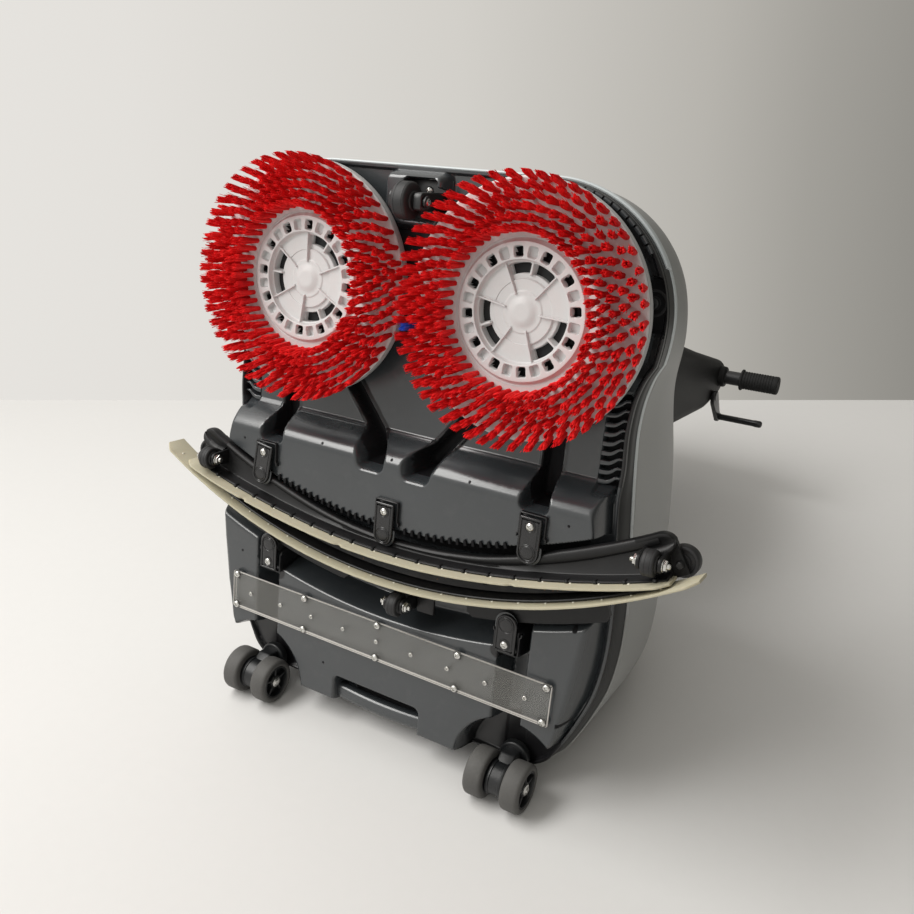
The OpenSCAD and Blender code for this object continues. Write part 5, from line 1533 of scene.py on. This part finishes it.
CAM = Vector((0.5533, -1.0819, 0.8217))
VIEW = Vector((-0.4739, 0.7759, -0.4164)).normalized()
flat = Vector((-0.5212, 0.8534, 0))
side = Vector((0.8534, 0.5212, 0))
M["floor"] = material("studio_floor", (0.68, 0.675, 0.665), 0.55, bump=0.02, scale=60, var=0.015, rough_var=0.04, spec=0.3, blotch=1.5)
far, near, wide = 0.924, -4.5, 6.0
corners = [flat * near - side * wide, flat * near + side * wide, flat * far + side * wide, flat * far - side * wide]
stage_plane("floor", [(c.x, c.y, 0.0) for c in corners], M["floor"])

world = bpy.data.worlds.new("studio")
bpy.context.scene.world = world
world.use_nodes = True
wn = world.node_tree
wn.nodes.clear()
wo = wn.nodes.new("ShaderNodeOutputWorld")
wb = wn.nodes.new("ShaderNodeBackground")
wc = wn.nodes.new("ShaderNodeTexCoord")
wd = wn.nodes.new("ShaderNodeVectorMath")
wd.operation = "DOT_PRODUCT"
wd.inputs[1].default_value = (0.8534, 0.5212, 0.0)
wr_ = wn.nodes.new("ShaderNodeMapRange")
wr_.inputs["From Min"].default_value = -0.6
wr_.inputs["From Max"].default_value = 0.6
wramp = wn.nodes.new("ShaderNodeValToRGB")
wramp.color_ramp.elements[0].position = 0.0
wramp.color_ramp.elements[0].color = (0.82, 0.80, 0.765, 1)
wramp.color_ramp.elements[1].position = 1.0
wramp.color_ramp.elements[1].color = (0.17, 0.165, 0.15, 1)
for pos_, c_ in ((0.25, (0.77, 0.748, 0.712)), (0.52, (0.645, 0.625, 0.585)), (0.72, (0.47, 0.453, 0.417)), (0.80, (0.36, 0.347, 0.318))):
    e_ = wramp.color_ramp.elements.new(pos_)
    e_.color = (*c_, 1)
wb.inputs["Strength"].default_value = 1.0
wn.links.new(wc.outputs["Generated"], wd.inputs[0])
wn.links.new(wd.outputs["Value"], wr_.inputs["Value"])
wn.links.new(wr_.outputs[0], wramp.inputs[0])
wn.links.new(wramp.outputs[0], wb.inputs["Color"])
wn.links.new(wb.outputs[0], wo.inputs[0])


def area(name, loc, target, size, power, color=(1, 1, 1), size_y=None):
    li = bpy.data.lights.new(name, "AREA")
    li.energy = power
    li.color = color
    li.shape = "RECTANGLE" if size_y else "SQUARE"
    li.size = size
    if size_y:
        li.size_y = size_y
    ob = bpy.data.objects.new(name, li)
    bpy.context.scene.collection.objects.link(ob)
    ob.location = loc
    ob.rotation_euler = (Vector(target) - Vector(loc)).to_track_quat("-Z", "Y").to_euler()
    return ob


# one long soft box, from the front left up over the machine
key = area("key", (-1.42, -1.2, 2.45), (0, 0, 0.4), 1.1, 82, (1.0, 0.985, 0.96), 3.0)
kz = (key.location - Vector((0, 0, 0.4))).normalized()
ky = Vector((0.0, 0.80, 0.45))
ky = (ky - kz * ky.dot(kz)).normalized()
kx = ky.cross(kz)
key.rotation_euler = Matrix((kx, ky, kz)).transposed().to_euler()

bpy.context.scene.view_settings.view_transform = "Standard"
cam = bpy.data.cameras.new("camera")
cam.lens = 36.02
cam.sensor_width = 36.0
cam.shift_x = 0.0208
co = bpy.data.objects.new("camera", cam)
bpy.context.scene.collection.objects.link(co)
co.location = CAM
co.rotation_euler = VIEW.to_track_quat("-Z", "Y").to_euler()
bpy.context.scene.camera = co
